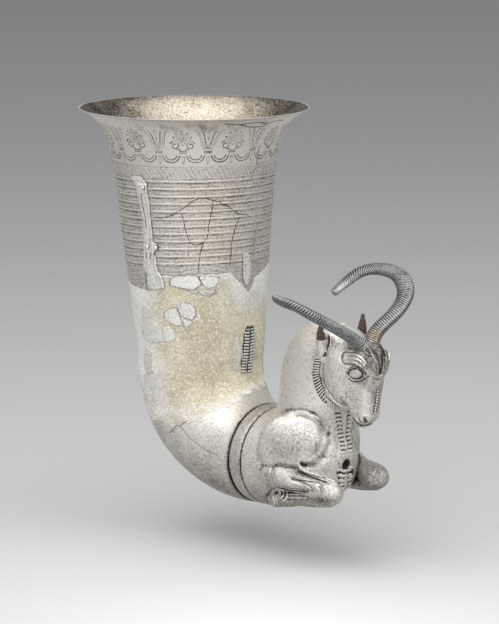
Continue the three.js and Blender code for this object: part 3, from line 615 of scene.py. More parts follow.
def silver_material(name, bright, dark, finish, film):
    """Old silver sheet, worked by hand: a satin gloss, with a grey film in clouds and in the hollows, and
    painted shade where the marks carry it.
    """
    material, tree, place = new_material(name)
    known = reckon(tree, {
        "clouds": noise(tree, place, CLOUD_SIZE, 6.0, 0.62),
        "specks": noise(tree, place, PIT_SIZE, 3.0),
        "hammer": noise(tree, place, HAMMER_SIZE, 2.0),
        "marked": point_mark(tree, "tarnish"),
        "gilded": point_mark(tree, "gilt"),
        "warmth": point_mark(tree, "warmth"),
    }, [
        ("cloud", "MULTIPLY_ADD", "clouds", 4.6, -2.1),
        ("cloud_low", "MAXIMUM", "cloud", 0.0),
        ("film", "MULTIPLY", "cloud_low", film),
        ("pit", "MULTIPLY_ADD", "specks", 9.0, -5.85),
        ("pit_low", "MAXIMUM", "pit", 0.0),
        ("pit_dark", "MINIMUM", "pit_low", 0.22),
        ("grit", "MULTIPLY_ADD", "specks", 1.2, -0.6),
        ("gritty", "ADD", "grit", "pit_dark"),
        ("hollow", "MULTIPLY_ADD", "marked", 0.95, "film"),
        ("dark", "ADD", "hollow", "gritty"),
        ("dark_low", "MAXIMUM", "dark", 0.0),
        ("shade", "MINIMUM", "dark_low", 1.0),
        ("patch", "MULTIPLY", "gilded", "clouds"),
        ("patch_more", "MULTIPLY_ADD", "patch", 3.0, -0.6),
        ("patch_low", "MAXIMUM", "patch_more", 0.0),
        ("gold", "MINIMUM", "patch_low", 1.0),
        ("satin", "MULTIPLY_ADD", "shade", 0.14, 0.5),
        ("rough", "MULTIPLY_ADD", "warmth", 0.25, "satin"),
        ("skin", "MULTIPLY_ADD", "hammer", 2.0, "specks"),
    ])
    clean = mix(tree, known["warmth"], linear(bright), linear(finish.warm))
    metal = mix(tree, known["shade"], clean, linear(dark))
    colour = mix(tree, known["gold"], metal, linear(finish.gilt))
    skin = bump(tree, 0.4, 0.12, known["skin"])
    end_material(tree, colour, known["rough"], {"Metallic": 1.0, "Normal": skin})
    return material


def fill_material(finish):
    """Resin fill with mica and stone grit, filed smooth: matt beige with olive, grey and pale grains."""
    material, tree, place = new_material("gritted_resin_fill")
    grains = add(tree, "ShaderNodeTexVoronoi", {"Vector": place, "Scale": 1 / GRAIN_SIZE}, out="Color")
    grain = add(tree, "ShaderNodeSeparateColor", {0: grains})
    known = reckon(tree, {
        "grain": grain,
        "clouds": noise(tree, place, CLOUD_SIZE, 5.0),
        "smear": point_mark(tree, "smear"),
    }, [
        ("drift", "MULTIPLY_ADD", "clouds", 1.3, -0.42),
        ("tone_at", "MULTIPLY_ADD", "grain", 0.75, "drift"),
        ("tone_low", "MAXIMUM", "tone_at", 0.0),
        ("tone", "MINIMUM", "tone_low", 1.0),
        ("spark_at", "MULTIPLY_ADD", "grain", 12.0, -11.2),
        ("spark", "MAXIMUM", "spark_at", 0.0),
        ("rough", "MULTIPLY_ADD", "spark", -0.3, 0.62),
    ])
    dark = mix(tree, known["smear"], linear(finish.fill_dark), linear(finish.fill_grey))
    light = mix(tree, known["smear"], linear(finish.fill), linear(finish.fill_pale))
    body = mix(tree, known["tone"], dark, light)
    colour = mix(tree, known["spark"], body, linear(finish.fill_light))
    skin = bump(tree, 0.25, 0.1, known["grain"])
    end_material(tree, colour, known["rough"], {"Normal": skin})
    return material


def corrosion_material(finish):
    """Copper corrosion left on a broken edge: dull brown crust with darker pits."""
    material, tree, place = new_material("copper_corrosion")
    crust = noise(tree, place, PIT_SIZE, 6.0, 0.7)
    known = reckon(tree, {"crust": crust}, [
        ("pit", "MULTIPLY_ADD", "crust", 3.2, -1.2),
        ("cut", "MINIMUM", "pit", 1.0),
        ("low", "MAXIMUM", "cut", 0.0),
    ])
    colour = mix(tree, known["low"], linear(finish.corrosion_pit), linear(finish.corrosion))
    end_material(tree, colour, 0.78, {"Normal": bump(tree, 0.6, 0.3, crust)})
    return material


def finishes():
    """The materials, made once and found again by name."""
    finish = bpy.context.scene.rhyton_finish
    if "chased_silver" not in bpy.data.materials:
        for name, bright, dark, film in (("chased_silver", finish.silver, finish.tarnish, 0.17),
                                         ("raised_silver", finish.silver, finish.tarnish, 0.17),
                                         ("repair_silver", finish.repair, finish.tarnish, 0.06),
                                         ("ribbed_silver", finish.horn_silver, finish.horn_dark, 0.2)):
            silver_material(name, bright, dark, finish, film)
        fill_material(finish)
        corrosion_material(finish)
    return bpy.data.materials


def radius_at(s, angle):
    """Outside radius of the horn, s down its centre line: slim inside the bend, full outside it."""
    s = np.asarray(s, float)
    waist = hump(s, WAIST_AT, WAIST_SPREAD) * (WAIST_MEAN + WAIST_SWAY * np.cos(angle))
    taper = THROAT_RADIUS + (TAIL_RADIUS - THROAT_RADIUS) * s / HORN_LENGTH
    return taper + waist + LIP_FLARE * np.exp(-s / LIP_FLARE_LENGTH)


def sheet_depth(s):
    """Depth of the inner wall, square to the slope of the flared lip."""
    slope = LIP_FLARE / LIP_FLARE_LENGTH * np.exp(-np.asarray(s, float) / LIP_FLARE_LENGTH)
    return SHEET * np.hypot(1, slope)


def on_horn(degrees, s, height):
    """Points on the horn, with the outward and the upward direction there."""
    angle, s, height = np.broadcast_arrays(np.radians(degrees), np.asarray(s, float),
                                           np.asarray(height, float))
    lean = np.minimum(s, UPPER_LENGTH) / UPPER_BEND
    bend = np.clip(s - UPPER_LENGTH, 0, ELBOW_LENGTH) / ELBOW_BEND
    straight = np.maximum(s - UPPER_LENGTH - ELBOW_LENGTH, 0)
    elbow, turn = UPPER_LEAN + bend, lean + bend
    x = (MOUTH_X + UPPER_BEND * (1 - np.cos(lean)) + ELBOW_BEND * (math.cos(UPPER_LEAN) - np.cos(elbow))
         + straight)
    z = MOUTH_Z - UPPER_BEND * np.sin(lean) - ELBOW_BEND * (np.sin(elbow) - math.sin(UPPER_LEAN))
    out = np.stack([np.cos(angle) * np.cos(turn), np.sin(angle), np.cos(angle) * np.sin(turn)], -1)
    upward = np.stack([-np.sin(turn), np.zeros_like(turn), np.cos(turn)], -1)
    centre = np.stack([x, np.zeros_like(x), z], -1)
    return centre + out * (radius_at(s, angle) + height)[..., None], out, upward


# Small teeth of a broken edge: size, number round the horn and shift.
TEETH = ((0.35, 41, 0), (0.25, 73, 1))


def edge_at(edge, degrees):
    """A broken edge with its small teeth, millimetres below the mouth."""
    angles, depths = zip(*edge)
    teeth = sum(size * np.sin(np.radians(degrees) * count + shift) for size, count, shift in TEETH)
    return np.interp(degrees, angles, depths, period=360) + teeth


def sheet_rows(degrees, rows):
    """Layout points of rows given as depth below the mouth and height above the horn."""
    x = np.radians(degrees) * UNROLL
    sheets = [(x, -np.broadcast_to(s, x.shape), np.broadcast_to(h, x.shape)) for s, h in rows]
    return np.vstack([np.stack(sheet, 1) for sheet in sheets])


def shell_layout(top, bottom, thickness, columns, fine_rows, lip=()):
    """A closed wall laid flat: up its outside, over its top edge and down its inside."""
    degrees = np.linspace(-180, 180, columns + 1)
    top_at, bottom_at = top(degrees), bottom(degrees)
    shares = [row / fine_rows for row in range(fine_rows + 1)]
    outside = [(bottom_at + (top_at - bottom_at) * share, 0.0) for share in shares]
    inside = [(top_at + (bottom_at - top_at) * share) for share in shares[::4]]
    rows = outside + list(lip) + [(s, -thickness(s)) for s in inside]
    return sheet_rows(degrees, rows), grid_faces(len(rows), columns + 1, loop=True)


# Cross-sections of ornament: how far across, how high, and how dark with tarnish.
CHASED = ((-1, -0.1, 0.3), (-0.72, 0.14, 0), (-0.45, 0.05, 1), (0.45, 0.05, 1), (0.72, 0.14, 0),
          (1, -0.1, 0.3))
BEADED = ((-1, -0.08, 1), (-0.6, 0.12, 0.35), (0, 0.3, 0), (0.6, 0.12, 0.35), (1, -0.08, 1))
TRACED = ((-1, -0.1, 0.1), (-0.62, 0.14, 0), (-0.36, 0.05, 0.8), (0.36, 0.05, 0.8), (0.62, 0.14, 0),
          (1, -0.1, 0.1))
RUNG = ((-1, -0.1, 1), (-0.7, 0.4, 0.5), (0, 0.75, 0), (0.7, 0.4, 0.5), (1, -0.1, 1))
CORD = ((-1, -0.1, 1), (-0.85, 0.3, 0.25), (-0.5, 0.6, 0), (0.5, 0.6, 0), (0.85, 0.3, 0.25), (1, -0.1, 1))
LOCK = ((-1, -0.1, 1), (-0.85, 0.3, 0.8), (-0.5, 0.6, 0.55), (0.5, 0.6, 0.55), (0.85, 0.3, 0.8),
        (1, -0.1, 1))
GROUND = ((-1, -0.3, 0.6), (-0.85, 0.2, 1), (0.85, 0.2, 1), (1, -0.3, 0.6))
CRACKED = ((-1, -0.06, 0.5), (-0.5, 0.05, 1), (0, 0.04, 1), (0.5, 0.05, 1), (1, -0.06, 0.5))
STRAPPED = ((-1, 0.1, 0.8), (-0.95, 0.7, 0.4), (-0.82, 0.95, 0), (-0.66, 0.82, 0.25), (0, 0.9, 0),
            (0.66, 0.82, 0.25), (0.82, 0.95, 0), (0.95, 0.7, 0.4), (1, 0.1, 0.8))
SUNK = -0.4


def ribbon(left, right, profile, lift=0.0):
    """A strip of ornament between two flat edges, closed below and at its ends."""
    middle, half = (left + right) / 2, (right - left) / 2
    held = np.ones(len(middle))
    held[[0, -1]] = 0
    lanes = [np.column_stack([middle + half * (offset * held)[:, None],
                              lift + SUNK + (height - SUNK) * held])
             for offset, height, _ in profile]
    lanes.append(np.column_stack([middle, np.full(len(middle), lift + SUNK)]))
    marks = np.tile([dark for *_, dark in profile] + [1.0], len(middle))
    return np.stack(lanes, 1).reshape(-1, 3), grid_faces(len(middle), len(lanes), ring=True), marks


def strip(path, half, profile, lift=0.0):
    """A strip of ornament along a flat path."""
    path = np.asarray(path, float)
    way = to_unit(np.gradient(path, axis=0))
    aside = np.stack([way[:, 1], -way[:, 0]], 1) * np.broadcast_to(half, len(path))[:, None]
    return ribbon(path - aside, path + aside, profile, lift)


# Rings of a raised piece from its edge to its middle: share of the outline, share of the height, tarnish.
DOMED = ((1, -0.1, 1), (0.84, 0.15, 0.9), (0.7, 0.5, 0.1), (0.45, 0.85, 0), (0, 1, 0))
PLATE = ((1, 0, 1), (0.96, 0.85, 0.8), (0.88, 1, 0.05), (0.6, 1, 0), (0.3, 1, 0), (0, 1, 0))


def dome(outline, height, form=DOMED):
    """A raised boss or plate with a dark edge, closed below."""
    outline = np.asarray(outline, float)
    centre = outline.mean(0)
    rings = [(0, SUNK, 1), (1, SUNK, 1)] + [(share, height * rise, dark) for share, rise, dark in form]
    points = np.vstack([np.column_stack([centre + (outline - centre) * share, np.full(len(outline), z)])
                        for share, z, _ in rings])
    marks = np.repeat([dark for *_, dark in rings], len(outline))
    return points, grid_faces(len(rings), len(outline), ring=True), marks.astype(float)


def sight(x, y):
    """A place on the drawing of the view."""
    return AIM + (x - VIEW_SIZE[0] / 2) * UNIT * RIGHT - (y - VIEW_SIZE[1] / 2) * UNIT * UP


def laid(path):
    """Drops a path drawn in the view onto the horn and lays it flat."""
    turn, depth = np.meshgrid(np.arange(-170.0, 90.0, 2.0), np.arange(0.0, HORN_LENGTH, 2.0))
    grid = on_horn(turn.ravel(), depth.ravel(), 0.0)[0]
    surface = BVHTree.FromPolygons((grid * MM).tolist(), grid_faces(*turn.shape).tolist())
    flat = []
    for x, y in path:
        aim = sight(x, y)
        hit, _, face, _ = surface.ray_cast(Vector(EYE * MM), Vector((aim - EYE) * MM))
        if hit is None:
            hit, _, face, _ = surface.find_nearest(Vector(aim * MM))
        row, column = divmod(face, turn.shape[1] - 1)
        degrees, s = turn[row, column] + 1, depth[row, column] + 1
        spot, out, upward = on_horn(degrees, s, 0.0)
        miss = np.array(hit) / MM - spot
        degrees += math.degrees(miss @ np.cross(upward, out) / radius_at(s, math.radians(degrees)))
        flat.append((math.radians(degrees) * UNROLL, miss @ upward - s))
    return np.array(flat)


# How far broken edges and cracks stray from a straight line.
SHARD_STRAY = 0.14
CRACK_STRAY = 0.16


def shard(corners, height, dull=0.0, edge=1.0):
    """A flat piece of broken sheet with straight edges; its corners are drawn in the view."""
    path = np.array([*corners, corners[0]], float)
    outline = laid(np.vstack([np.linspace(a, b, 7)[:-1] for a, b in zip(path, path[1:])]))
    x, y = outline.T
    if (x * np.roll(y, -1) - np.roll(x, -1) * y).sum() < 0:
        outline = outline[::-1]
    chance = np.random.default_rng(SEED)
    points, faces, marks = dome(outline + chance.normal(0, SHARD_STRAY, outline.shape), height, PLATE)
    return points, faces, np.maximum(edge * marks, dull)


LEAF_CORNERS = 14
OBLONG_CORNERS = 44
OBLONG_BLUNT = 0.6


def leaf(base, lean, length, half):
    """Outline of a pointed leaf that grows from its base at a lean from upright."""
    share = full_turn(LEAF_CORNERS)
    along = length * (0.5 - 0.5 * np.cos(share))
    across = half * np.sin(share) * (0.55 + 0.45 * np.sin(share / 2) ** 4)
    turn = math.radians(lean)
    return np.column_stack([base[0] + along * math.sin(turn) + across * math.cos(turn),
                            base[1] + along * math.cos(turn) - across * math.sin(turn)])


def volute(centre, radius, turns, start, side):
    """Spiral line of a volute."""
    share = np.linspace(0, 1, 22)
    turn = math.radians(start) + side * share * turns * 2 * math.pi
    reach = radius * (1 - 0.78 * share)
    return np.column_stack([centre[0] + reach * np.cos(turn), centre[1] + reach * np.sin(turn)])


def loop_between(one, other, top, bottom):
    """A hanging loop from one tie to the next."""
    left, right = sorted((one, other))
    turn = np.linspace(0, math.pi, 18)
    middle, reach = (left + right) / 2, (right - left) / 2
    return np.column_stack([middle - reach * np.cos(turn), top - (top - bottom) * np.sin(turn) ** 0.75])


# The frieze: from palmette to lotus, the horn's radius there, and half widths of its lines.
MOTIF_STEP = 15.8
FRIEZE_RADIUS = 55.4
FRIEZE_SQUEEZE = UNROLL / FRIEZE_RADIUS
LINE_HALF = 0.62
LOOP_HALF = 0.7
BAR_HALF = 0.6


def motif_shape():
    """One palmette and half a lotus on each side, laid flat: the frieze repeats it."""
    parts = []
    for lean in range(-81, 82, 27):
        parts.append(dome(leaf((0, -16.6), lean, 8.6 - abs(lean) / 45, 1.25), 0.34))
    parts.append(dome(leaf((0, -18.6), 0, 3.2, 2.0), 0.4))
    for side in (-1, 1):
        parts.append(strip(volute((side * 4.9, -18.3), 3.1, 1.45, 90 - side * 90, side), LINE_HALF, TRACED))
        tie = [(side * 1.2, -21.6), (side * 2.6, -20.6), (side * 4.3, -21.3)]
        parts.append(strip(smooth_path(tie, 8), LINE_HALF, TRACED))
        parts.append(strip(loop_between(side * 2.1, side * 13.7, -22.8, -29.2), LOOP_HALF, TRACED))
        parts.append(strip(loop_between(side * 4, side * 11.8, -23.5, -27.4), LINE_HALF, TRACED))
    for middle in (0, MOTIF_STEP):
        for depth in (21.9, 23.0):
            bar = np.column_stack([np.linspace(-3.6, 3.6, 7) + middle, np.full(7, -depth)])
            parts.append(strip(bar, BAR_HALF, TRACED))
        parts.append(dome(leaf((middle, -30.4), 0, 5.4, 1.6), 0.4))
    for side in (-1, 1):
        sepal = [(MOTIF_STEP + side * 1.4, -21), (MOTIF_STEP + side * 3.6, -17.5),
                 (MOTIF_STEP + side * 4.8, -13), (MOTIF_STEP + side * 6.6, -9),
                 (MOTIF_STEP + side * 9, -7.6)]
        parts.append(strip(smooth_path(sepal, 22), np.linspace(1.0, 0.55, 22), BEADED))
        inner = [(MOTIF_STEP + side * 0.6, -20), (MOTIF_STEP + side * 1.9, -16),
                 (MOTIF_STEP + side * 2.7, -11.5), (MOTIF_STEP + side * 4.2, -8)]
        parts.append(strip(smooth_path(inner, 18), LINE_HALF, TRACED))
    for lean in (-48, -16, 16, 48):
        parts.append(dome(leaf((MOTIF_STEP, -20.6), lean, 5.2, 0.95), 0.3))
    parts.append(dome(leaf((MOTIF_STEP, -15.2), 0, 7.4, 1.3), 0.32))
    points, faces, marks = joined(parts)
    points[:, 0] *= FRIEZE_SQUEEZE
    return points, faces, marks


# The cable band: depth of its edges below the mouth.
BAND_TOP = 32.0
BAND_FOOT = 39.2


def strand_shape():
    """One slanted strand of the cable band, laid flat."""
    run = smooth_path([(-3.1, -BAND_TOP - 0.9), (-1.5, -BAND_TOP - 1.3), (0, -(BAND_TOP + BAND_FOOT) / 2),
                       (1.5, -BAND_FOOT + 1.3), (3.1, -BAND_FOOT + 0.9)], 12)
    return strip(run, 0.85, BEADED)


def ring_line(s, half, profile):
    """A line right round the horn."""
    x = np.linspace(-math.pi, math.pi, 260) * UNROLL
    return strip(np.column_stack([x, np.full(len(x), -float(s))]), half, profile)


# Cracks in the beaker and lines on the wall: depth below the mouth, degrees round the horn.
CRACKS = [
    [(64.7, -82), (64, -61.5), (59.4, -50), (52.2, -37), (54, -25), (58, -15), (63.2, -7), (65.3, 4)],
    [(54.6, -26), (67, -29), (77, -31), (81, -34), (89, -37), (100, -38.5)],
    [(66, -5.5), (73, -9), (82, -11.4), (90.5, -12), (97, -13)],
    [(61.4, -49), (70.6, -47), (78, -45), (81.6, -41), (81, -34)],
    [(20, 9), (27, 8.5), (33.7, 8), (38, 5.5), (41.8, 4)],
    [(3.6, -24), (4.6, -13), (3.8, -3), (5.4, 5), (4.2, 13), (5.0, 20)],
    [(4.6, -13), (6.6, -8), (7.4, 0), (6.4, 7)],
    [(70, 150), (74, 166), (71, 182), (80, 197)],
    [(50, 95), (66, 101), (78, 96), (93, 104)],
]


def crack_path(crack, seed):
    """A crack as a jagged flat path."""
    depth, degrees = smooth_path(crack, 12 * len(crack)).T
    chance = np.random.default_rng(seed)
    x = np.radians(degrees) * UNROLL + chance.normal(0, CRACK_STRAY, len(depth))
    return np.column_stack([x, -depth + chance.normal(0, CRACK_STRAY, len(depth))])


def cracked(cracks, half):
    """Several cracks as one shape; each has random draws of its own."""
    paths = [crack_path(crack, SEED + place) for place, crack in enumerate(cracks)]
    return joined([strip(path, half, CRACKED) for path in paths])


def oblong_outline(s, degrees, across, down):
    """Outline of a long fragment with blunt ends, laid flat."""
    turn = full_turn(OBLONG_CORNERS)
    full = np.sign(np.cos(turn)) * np.abs(np.cos(turn)) ** OBLONG_BLUNT
    tall = np.sign(np.sin(turn)) * np.abs(np.sin(turn)) ** OBLONG_BLUNT
    squeeze = UNROLL / radius_at(s, math.radians(degrees))
    return np.column_stack([math.radians(degrees) * UNROLL + across * squeeze * full, -s + down * tall])


# Pieces of the old wall, by their corners in the view and how dull they are.
FRAGMENTS = {
    "fragment_upper": [
        ([(170, 278.1), (185, 276), (197.5, 275.6), (202.5, 283.8), (195, 290), (180, 288.1),
          (169.4, 285.6)], 0.0),
        ([(200, 275.6), (220, 276.9), (218.8, 282.5), (215, 287.5), (207.5, 288.8), (202.5, 283.8),
          (199, 278)], 0.0),
        ([(180, 288.8), (195, 290.6), (205, 291.9), (215, 288.8), (216.9, 293.1), (210, 296.3),
          (195, 293.1), (185, 290)], 0.3),
    ],
    "fragment_round_a": [
        ([(163.8, 312.5), (170, 308.1), (176, 307), (179.8, 315), (183, 326), (177.5, 326.3), (170, 322.5),
          (165, 320)], 0.0),
    ],
    "fragment_round_b": [
        ([(177, 306.3), (181.3, 302.5), (190, 303.1), (195.6, 307.5), (196.3, 315), (192.5, 320.6),
          (185, 318.1), (180.6, 315), (177.5, 308.8)], 0.1),
    ],
    "fragment_round_c": [
        ([(183.1, 318.8), (190, 321.3), (192.5, 321.9), (188.8, 326.3), (186.3, 327.5), (183.8, 323.8)],
         0.0),
    ],
    "fragment_flank_a": [
        ([(141.9, 308.1), (146.3, 305), (149.4, 308.8), (151.3, 318.8), (141.9, 316.9)], 0.0),
        ([(141.9, 318.1), (151.3, 320), (157.5, 326.3), (161.3, 327.5), (163.1, 335), (165, 341.3),
          (151.3, 343.8), (145, 338.8), (141.9, 332.5)], 0.0),
        ([(162.5, 327.5), (170, 326.3), (173.1, 332.5), (176.3, 337.5), (172.5, 341.3), (165.6, 342.5),
          (164.4, 335)], 0.0),
    ],
    "fragment_flank_b": [
        ([(146, 345), (152, 352), (151.5, 364), (155, 373), (147, 374), (143.5, 362)], 0.08),
        ([(143.5, 375), (150, 373.8), (157.5, 376.3), (155, 388.8), (148.8, 388.1), (144.4, 382.5)], 0.04),
    ],
}


def made(name, shape, finish, *nodes, slot=SILVER_SLOT):
    """A shape of points, faces and tarnish with any painted shade, as a piece."""
    points, faces, marks = shape
    return dress(weld(mesh_object(name, points, faces, {"tarnish": marks}, finish)), slot, *nodes)


def wrapped(name, shape, finish, node, relief=0.0, slot=SILVER_SLOT):
    """A flat shape wrapped on the horn as a piece; its marks are tarnish with any painted shade, or named
    ones.
    """
    vessel = bpy.context.scene.rhyton_vessel
    points, faces, marks = shape
    named = marks if isinstance(marks, dict) else {"tarnish": marks}
    source = mesh_object(name + "_layout", points, faces, named)
    tree = bpy.data.node_groups.get("vessel_sheet") or vessel_tree()
    piece = grown(name, source, tree, {
        "Relief": relief, "Wobble": vessel.ridge_wobble, "Unevenness": vessel.unevenness, "Finish": finish})
    return dress(piece, slot, node)


def in_a_row(name, shape, points, facing, heading, finish, *nodes, size=None):
    """Small pieces set on points of a surface by Geometry Nodes, as one piece."""
    part = weld(mesh_object(name + "_part", *shape[:2], {"tarnish": shape[2]}))
    marks = {"facing": facing, "heading": heading, "size": np.ones(len(points)) if size is None else size}
    source = mesh_object(name + "_points", points, [], marks)
    tree = bpy.data.node_groups.get("row_of_pieces") or row_tree()
    piece = grown(name, source, tree, {"Piece": part, "Finish": finish})
    bpy.data.objects.remove(part)
    return dress(piece, SILVER_SLOT, *nodes)


def turned_shape(profile, columns):
    """A lathe form about Z from rows of radius, height and tarnish with any painted shade."""
    turn = full_turn(columns)
    rings = [(r * np.cos(turn), r * np.sin(turn), np.full(columns, z)) for r, z, _ in profile]
    points = np.vstack([np.column_stack(ring) for ring in rings])
    marks = np.repeat([float(dark) for *_, dark in profile], columns)
    return points, grid_faces(len(profile), columns, ring=True), marks


def smooth_min(a, b, reach):
    """Union of two forms with a soft fillet."""
    share = np.clip(0.5 + 0.5 * (b - a) / reach, 0, 1)
    return b + (a - b) * share - reach * share * (1 - share)


def oval(y, up, half_width, half_height):
    """Distance to an oval section, measured from its centre."""
    ring = np.maximum(np.hypot(y / half_width, up / half_height), 1e-6)
    return np.hypot(y, up) * (1 - 1 / ring)


# Rows between two sections of a body, rows of a limb, and how far from a limb its field is worked out.
ROWS_PER_SECTION = 6
LIMB_ROWS = 22
LIMB_REACH = 8


def loft_field(at, sections):
    """Distance to a body of oval sections that follow each other."""
    rows = smooth_path(sections, ROWS_PER_SECTION * len(sections))
    x, y, z = at.T
    best = np.full(len(at), FAR)
    before = last = None
    for place, row in enumerate(rows):
        turn = math.radians(row[2])
        passed = (x - row[0]) * math.cos(turn) + (z - row[1]) * math.sin(turn)
        if before is not None:
            near = (before >= 0) != (passed >= 0)
            share = (before[near] / (before[near] - passed[near]))[:, None]
            mid = last + (row - last) * share
            lean = np.radians(mid[:, 2])
            up = (z[near] - mid[:, 1]) * np.cos(lean) - (x[near] - mid[:, 0]) * np.sin(lean)
            best[near] = np.minimum(best[near], oval(y[near], up, mid[:, 3], mid[:, 4]))
        if place in (0, len(rows) - 1):
            out = passed >= 0 if place else passed <= 0
            up = (z[out] - row[1]) * math.cos(turn) - (x[out] - row[0]) * math.sin(turn)
            flat = np.maximum(oval(y[out], up, row[3], row[4]), 0)
            best[out] = np.minimum(best[out], np.hypot(flat, passed[out]))
        before, last = passed, row
    return best


def limb_field(at, stations):
    """Distance to a limb of round sections: x, y, z and radius."""
    rows = smooth_path(stations, LIMB_ROWS)
    reach = rows[:, 3].max() + LIMB_REACH
    near = np.all((at > rows[:, :3].min(0) - reach) & (at < rows[:, :3].max(0) + reach), axis=1)
    close, gap = at[near], np.full(near.sum(), FAR)
    for a, b in zip(rows, rows[1:]):
        run = b[:3] - a[:3]
        share = np.clip((close - a[:3]) @ run / (run @ run), 0, 1)
        away = np.linalg.norm(close - a[:3] - share[:, None] * run, axis=1)
        gap = np.minimum(gap, away - (a[3] + (b[3] - a[3]) * share))
    best = np.full(len(at), FAR)
    best[near] = gap
    return best


def ellipsoid_field(at, centre, radii, turn):
    """Distance to an ellipsoid, turned about Z."""
    x, y, z = (at - np.asarray(centre, float)).T
    cos, sin = math.cos(turn), math.sin(turn)
    scaled = np.stack([x * cos + y * sin, y * cos - x * sin, z], 1) / radii
    one = np.linalg.norm(scaled, axis=1)
    two = np.maximum(np.linalg.norm(scaled / radii, axis=1), 1e-6)
    return one * (one - 1) / two


# Soft joins between the animal's forms.
NECK_FILLET = 9
LOCK_FILLET = 2
SHOULDER_FILLET = 3.5
CHEEK_FILLET = 4.0
LEG_FOLD_FILLET = 1.0
LEG_FILLET = 1.6
HEAD_FILLET = 3
# The seam behind the jaw: its place, and the height below which it curves forward, and how much.
SEAM_X = 63.6
SEAM_CURVE_BELOW = 82
SEAM_CURVE = 0.024
# The hollow that opens to the horn, and how far back the pouring hole goes.
BORE_RADIUS = 28.4
BORE_END = 10.0
SPOUT_REACH = 14


def animal_field(at):
    """Distance to the whole animal: barrel, neck, shoulders, forelegs and head."""
    whole = smooth_min(loft_field(at, BARREL), loft_field(at, NECK), NECK_FILLET)
    head = smooth_min(loft_field(at, HEAD), ellipsoid_field(at, *FORELOCK), LOCK_FILLET)
    for side in BOTH_SIDES:
        mirrored = at * (1, side, 1)
        whole = smooth_min(whole, ellipsoid_field(mirrored, *SHOULDER), SHOULDER_FILLET)
        head = smooth_min(head, ellipsoid_field(mirrored, *CHEEK), CHEEK_FILLET)
        leg = mirrored - (0, 0, LEFT_KNEE_RISE if side < 0 else 0)
        folded = smooth_min(limb_field(leg, FOREARM), limb_field(leg, CANNON), LEG_FOLD_FILLET)
        whole = smooth_min(whole, folded, LEG_FILLET)
    return smooth_min(whole, head, HEAD_FILLET)


def split_gap(at):
    """Positive in front of the seam behind the jaw, where the head begins."""
    return at[:, 0] - SEAM_X - SEAM_CURVE * np.maximum(SEAM_CURVE_BELOW - at[:, 2], 0) ** 2


def body_field(at):
    """The body behind the seam, open to the horn and pierced by the spout."""
    x, y, z = at.T
    bore = np.hypot(np.maximum(x - BORE_END, 0), np.hypot(y, z - JOINT_HEIGHT)) - BORE_RADIUS
    spout = np.where(x > CHEST_X - SPOUT_REACH, np.hypot(y, z - SPOUT_HEIGHT) - SPOUT_BORE, FAR)
    open_body = np.maximum(np.maximum(animal_field(at), JOINT_HALF - x), -np.minimum(bore, spout))
    return np.maximum(open_body, split_gap(at))


def head_field(at):
    """The head in front of the seam."""
    return np.maximum(animal_field(at), -split_gap(at))


# The rough grid: how many fine cells to one of its own, and within how many of those the surface may be.
COARSE = 4
COARSE_REACH = 1.6


def field_grid(field, low, high, grain):
    """Field values on a fine grid: exact near the surface, rough elsewhere."""
    size = (np.ceil((np.array(high) - low) / grain / COARSE) * COARSE).astype(int) + 1
    axes = [low[k] + grain * np.arange(size[k]) for k in range(3)]
    rough_axes = [axis[::COARSE] for axis in axes]
    rough = field(np.stack(np.meshgrid(*rough_axes, indexing="ij"), -1).reshape(-1, 3))
    rough = rough.reshape([len(axis) for axis in rough_axes])
    nearest = np.ix_(*[(np.arange(count) + COARSE // 2) // COARSE for count in size])
    values = rough[nearest]
    near = np.argwhere(np.abs(values) < COARSE_REACH * COARSE * grain)
    values[tuple(near.T)] = field(np.array(low) + grain * near)
    return values


def surface_net(values, low, grain):
    """Quads through the cells where the field changes sign."""
    inside = values < 0
    ends = (slice(None, -1), slice(1, None))
    count = sum(inside[i, j, k].astype(np.int8) for i in ends for j in ends for k in ends)
    active = (count > 0) & (count < 8)
    cell = np.argwhere(active)
    index = np.full(active.shape, -1)
    index[active] = np.arange(len(cell))
    total, hits = np.zeros((len(cell), 3)), np.zeros(len(cell))
    for axis in range(3):
        step = np.eye(3, dtype=int)[axis]
        for one in (0, 1):
            for two in (0, 1):
                offset = np.roll([0, one, two], axis)
                a = values[tuple((cell + offset).T)]
                b = values[tuple((cell + offset + step).T)]
                cross = (a < 0) != (b < 0)
                share = a[cross] / (a[cross] - b[cross])
                total[cross] += offset + share[:, None] * step
                hits[cross] += 1
    points = np.array(low) + grain * (cell + total / hits[:, None])
    quads = []
    for axis in range(3):
        step_b, step_c = (np.eye(3, dtype=int)[(axis + place) % 3] for place in (1, 2))
        lower = np.take(inside, np.arange(inside.shape[axis] - 1), axis)
        upper = np.take(inside, np.arange(1, inside.shape[axis]), axis)
        edge = np.argwhere(lower != upper)
        around = [edge - step_b - step_c, edge - step_c, edge, edge - step_b]
        quad = np.stack([index[tuple(place.T)] for place in around], 1)
        turned = ~lower[tuple(edge.T)]
        quad[turned] = quad[turned][:, ::-1]
        quads.append(quad)
    return points, np.vstack(quads)


SLOPE_STEP = 0.2


def slope_of(field, points):
    """Gradient of a field at points."""
    shifts = np.eye(3) * SLOPE_STEP
    rises = [field(points + shift) - field(points - shift) for shift in shifts]
    return np.stack(rises, 1) / (2 * SLOPE_STEP)


def modelled(field, low, high, grain):
    """A smooth mesh of a field, with its outward directions."""
    points, quads = surface_net(field_grid(field, np.array(low, float), high, grain), low, grain)
    for _ in range(2):
        slope = slope_of(field, points)
        steep = np.maximum((slope ** 2).sum(1), 0.05)
        move = slope * (field(points) / steep)[:, None]
        length = np.linalg.norm(move, axis=1)
        points -= move * np.minimum(1, 0.5 * grain / np.maximum(length, 1e-9))[:, None]
    return points, quads, to_unit(slope_of(field, points))


HOLLOW_GAIN = 12.0


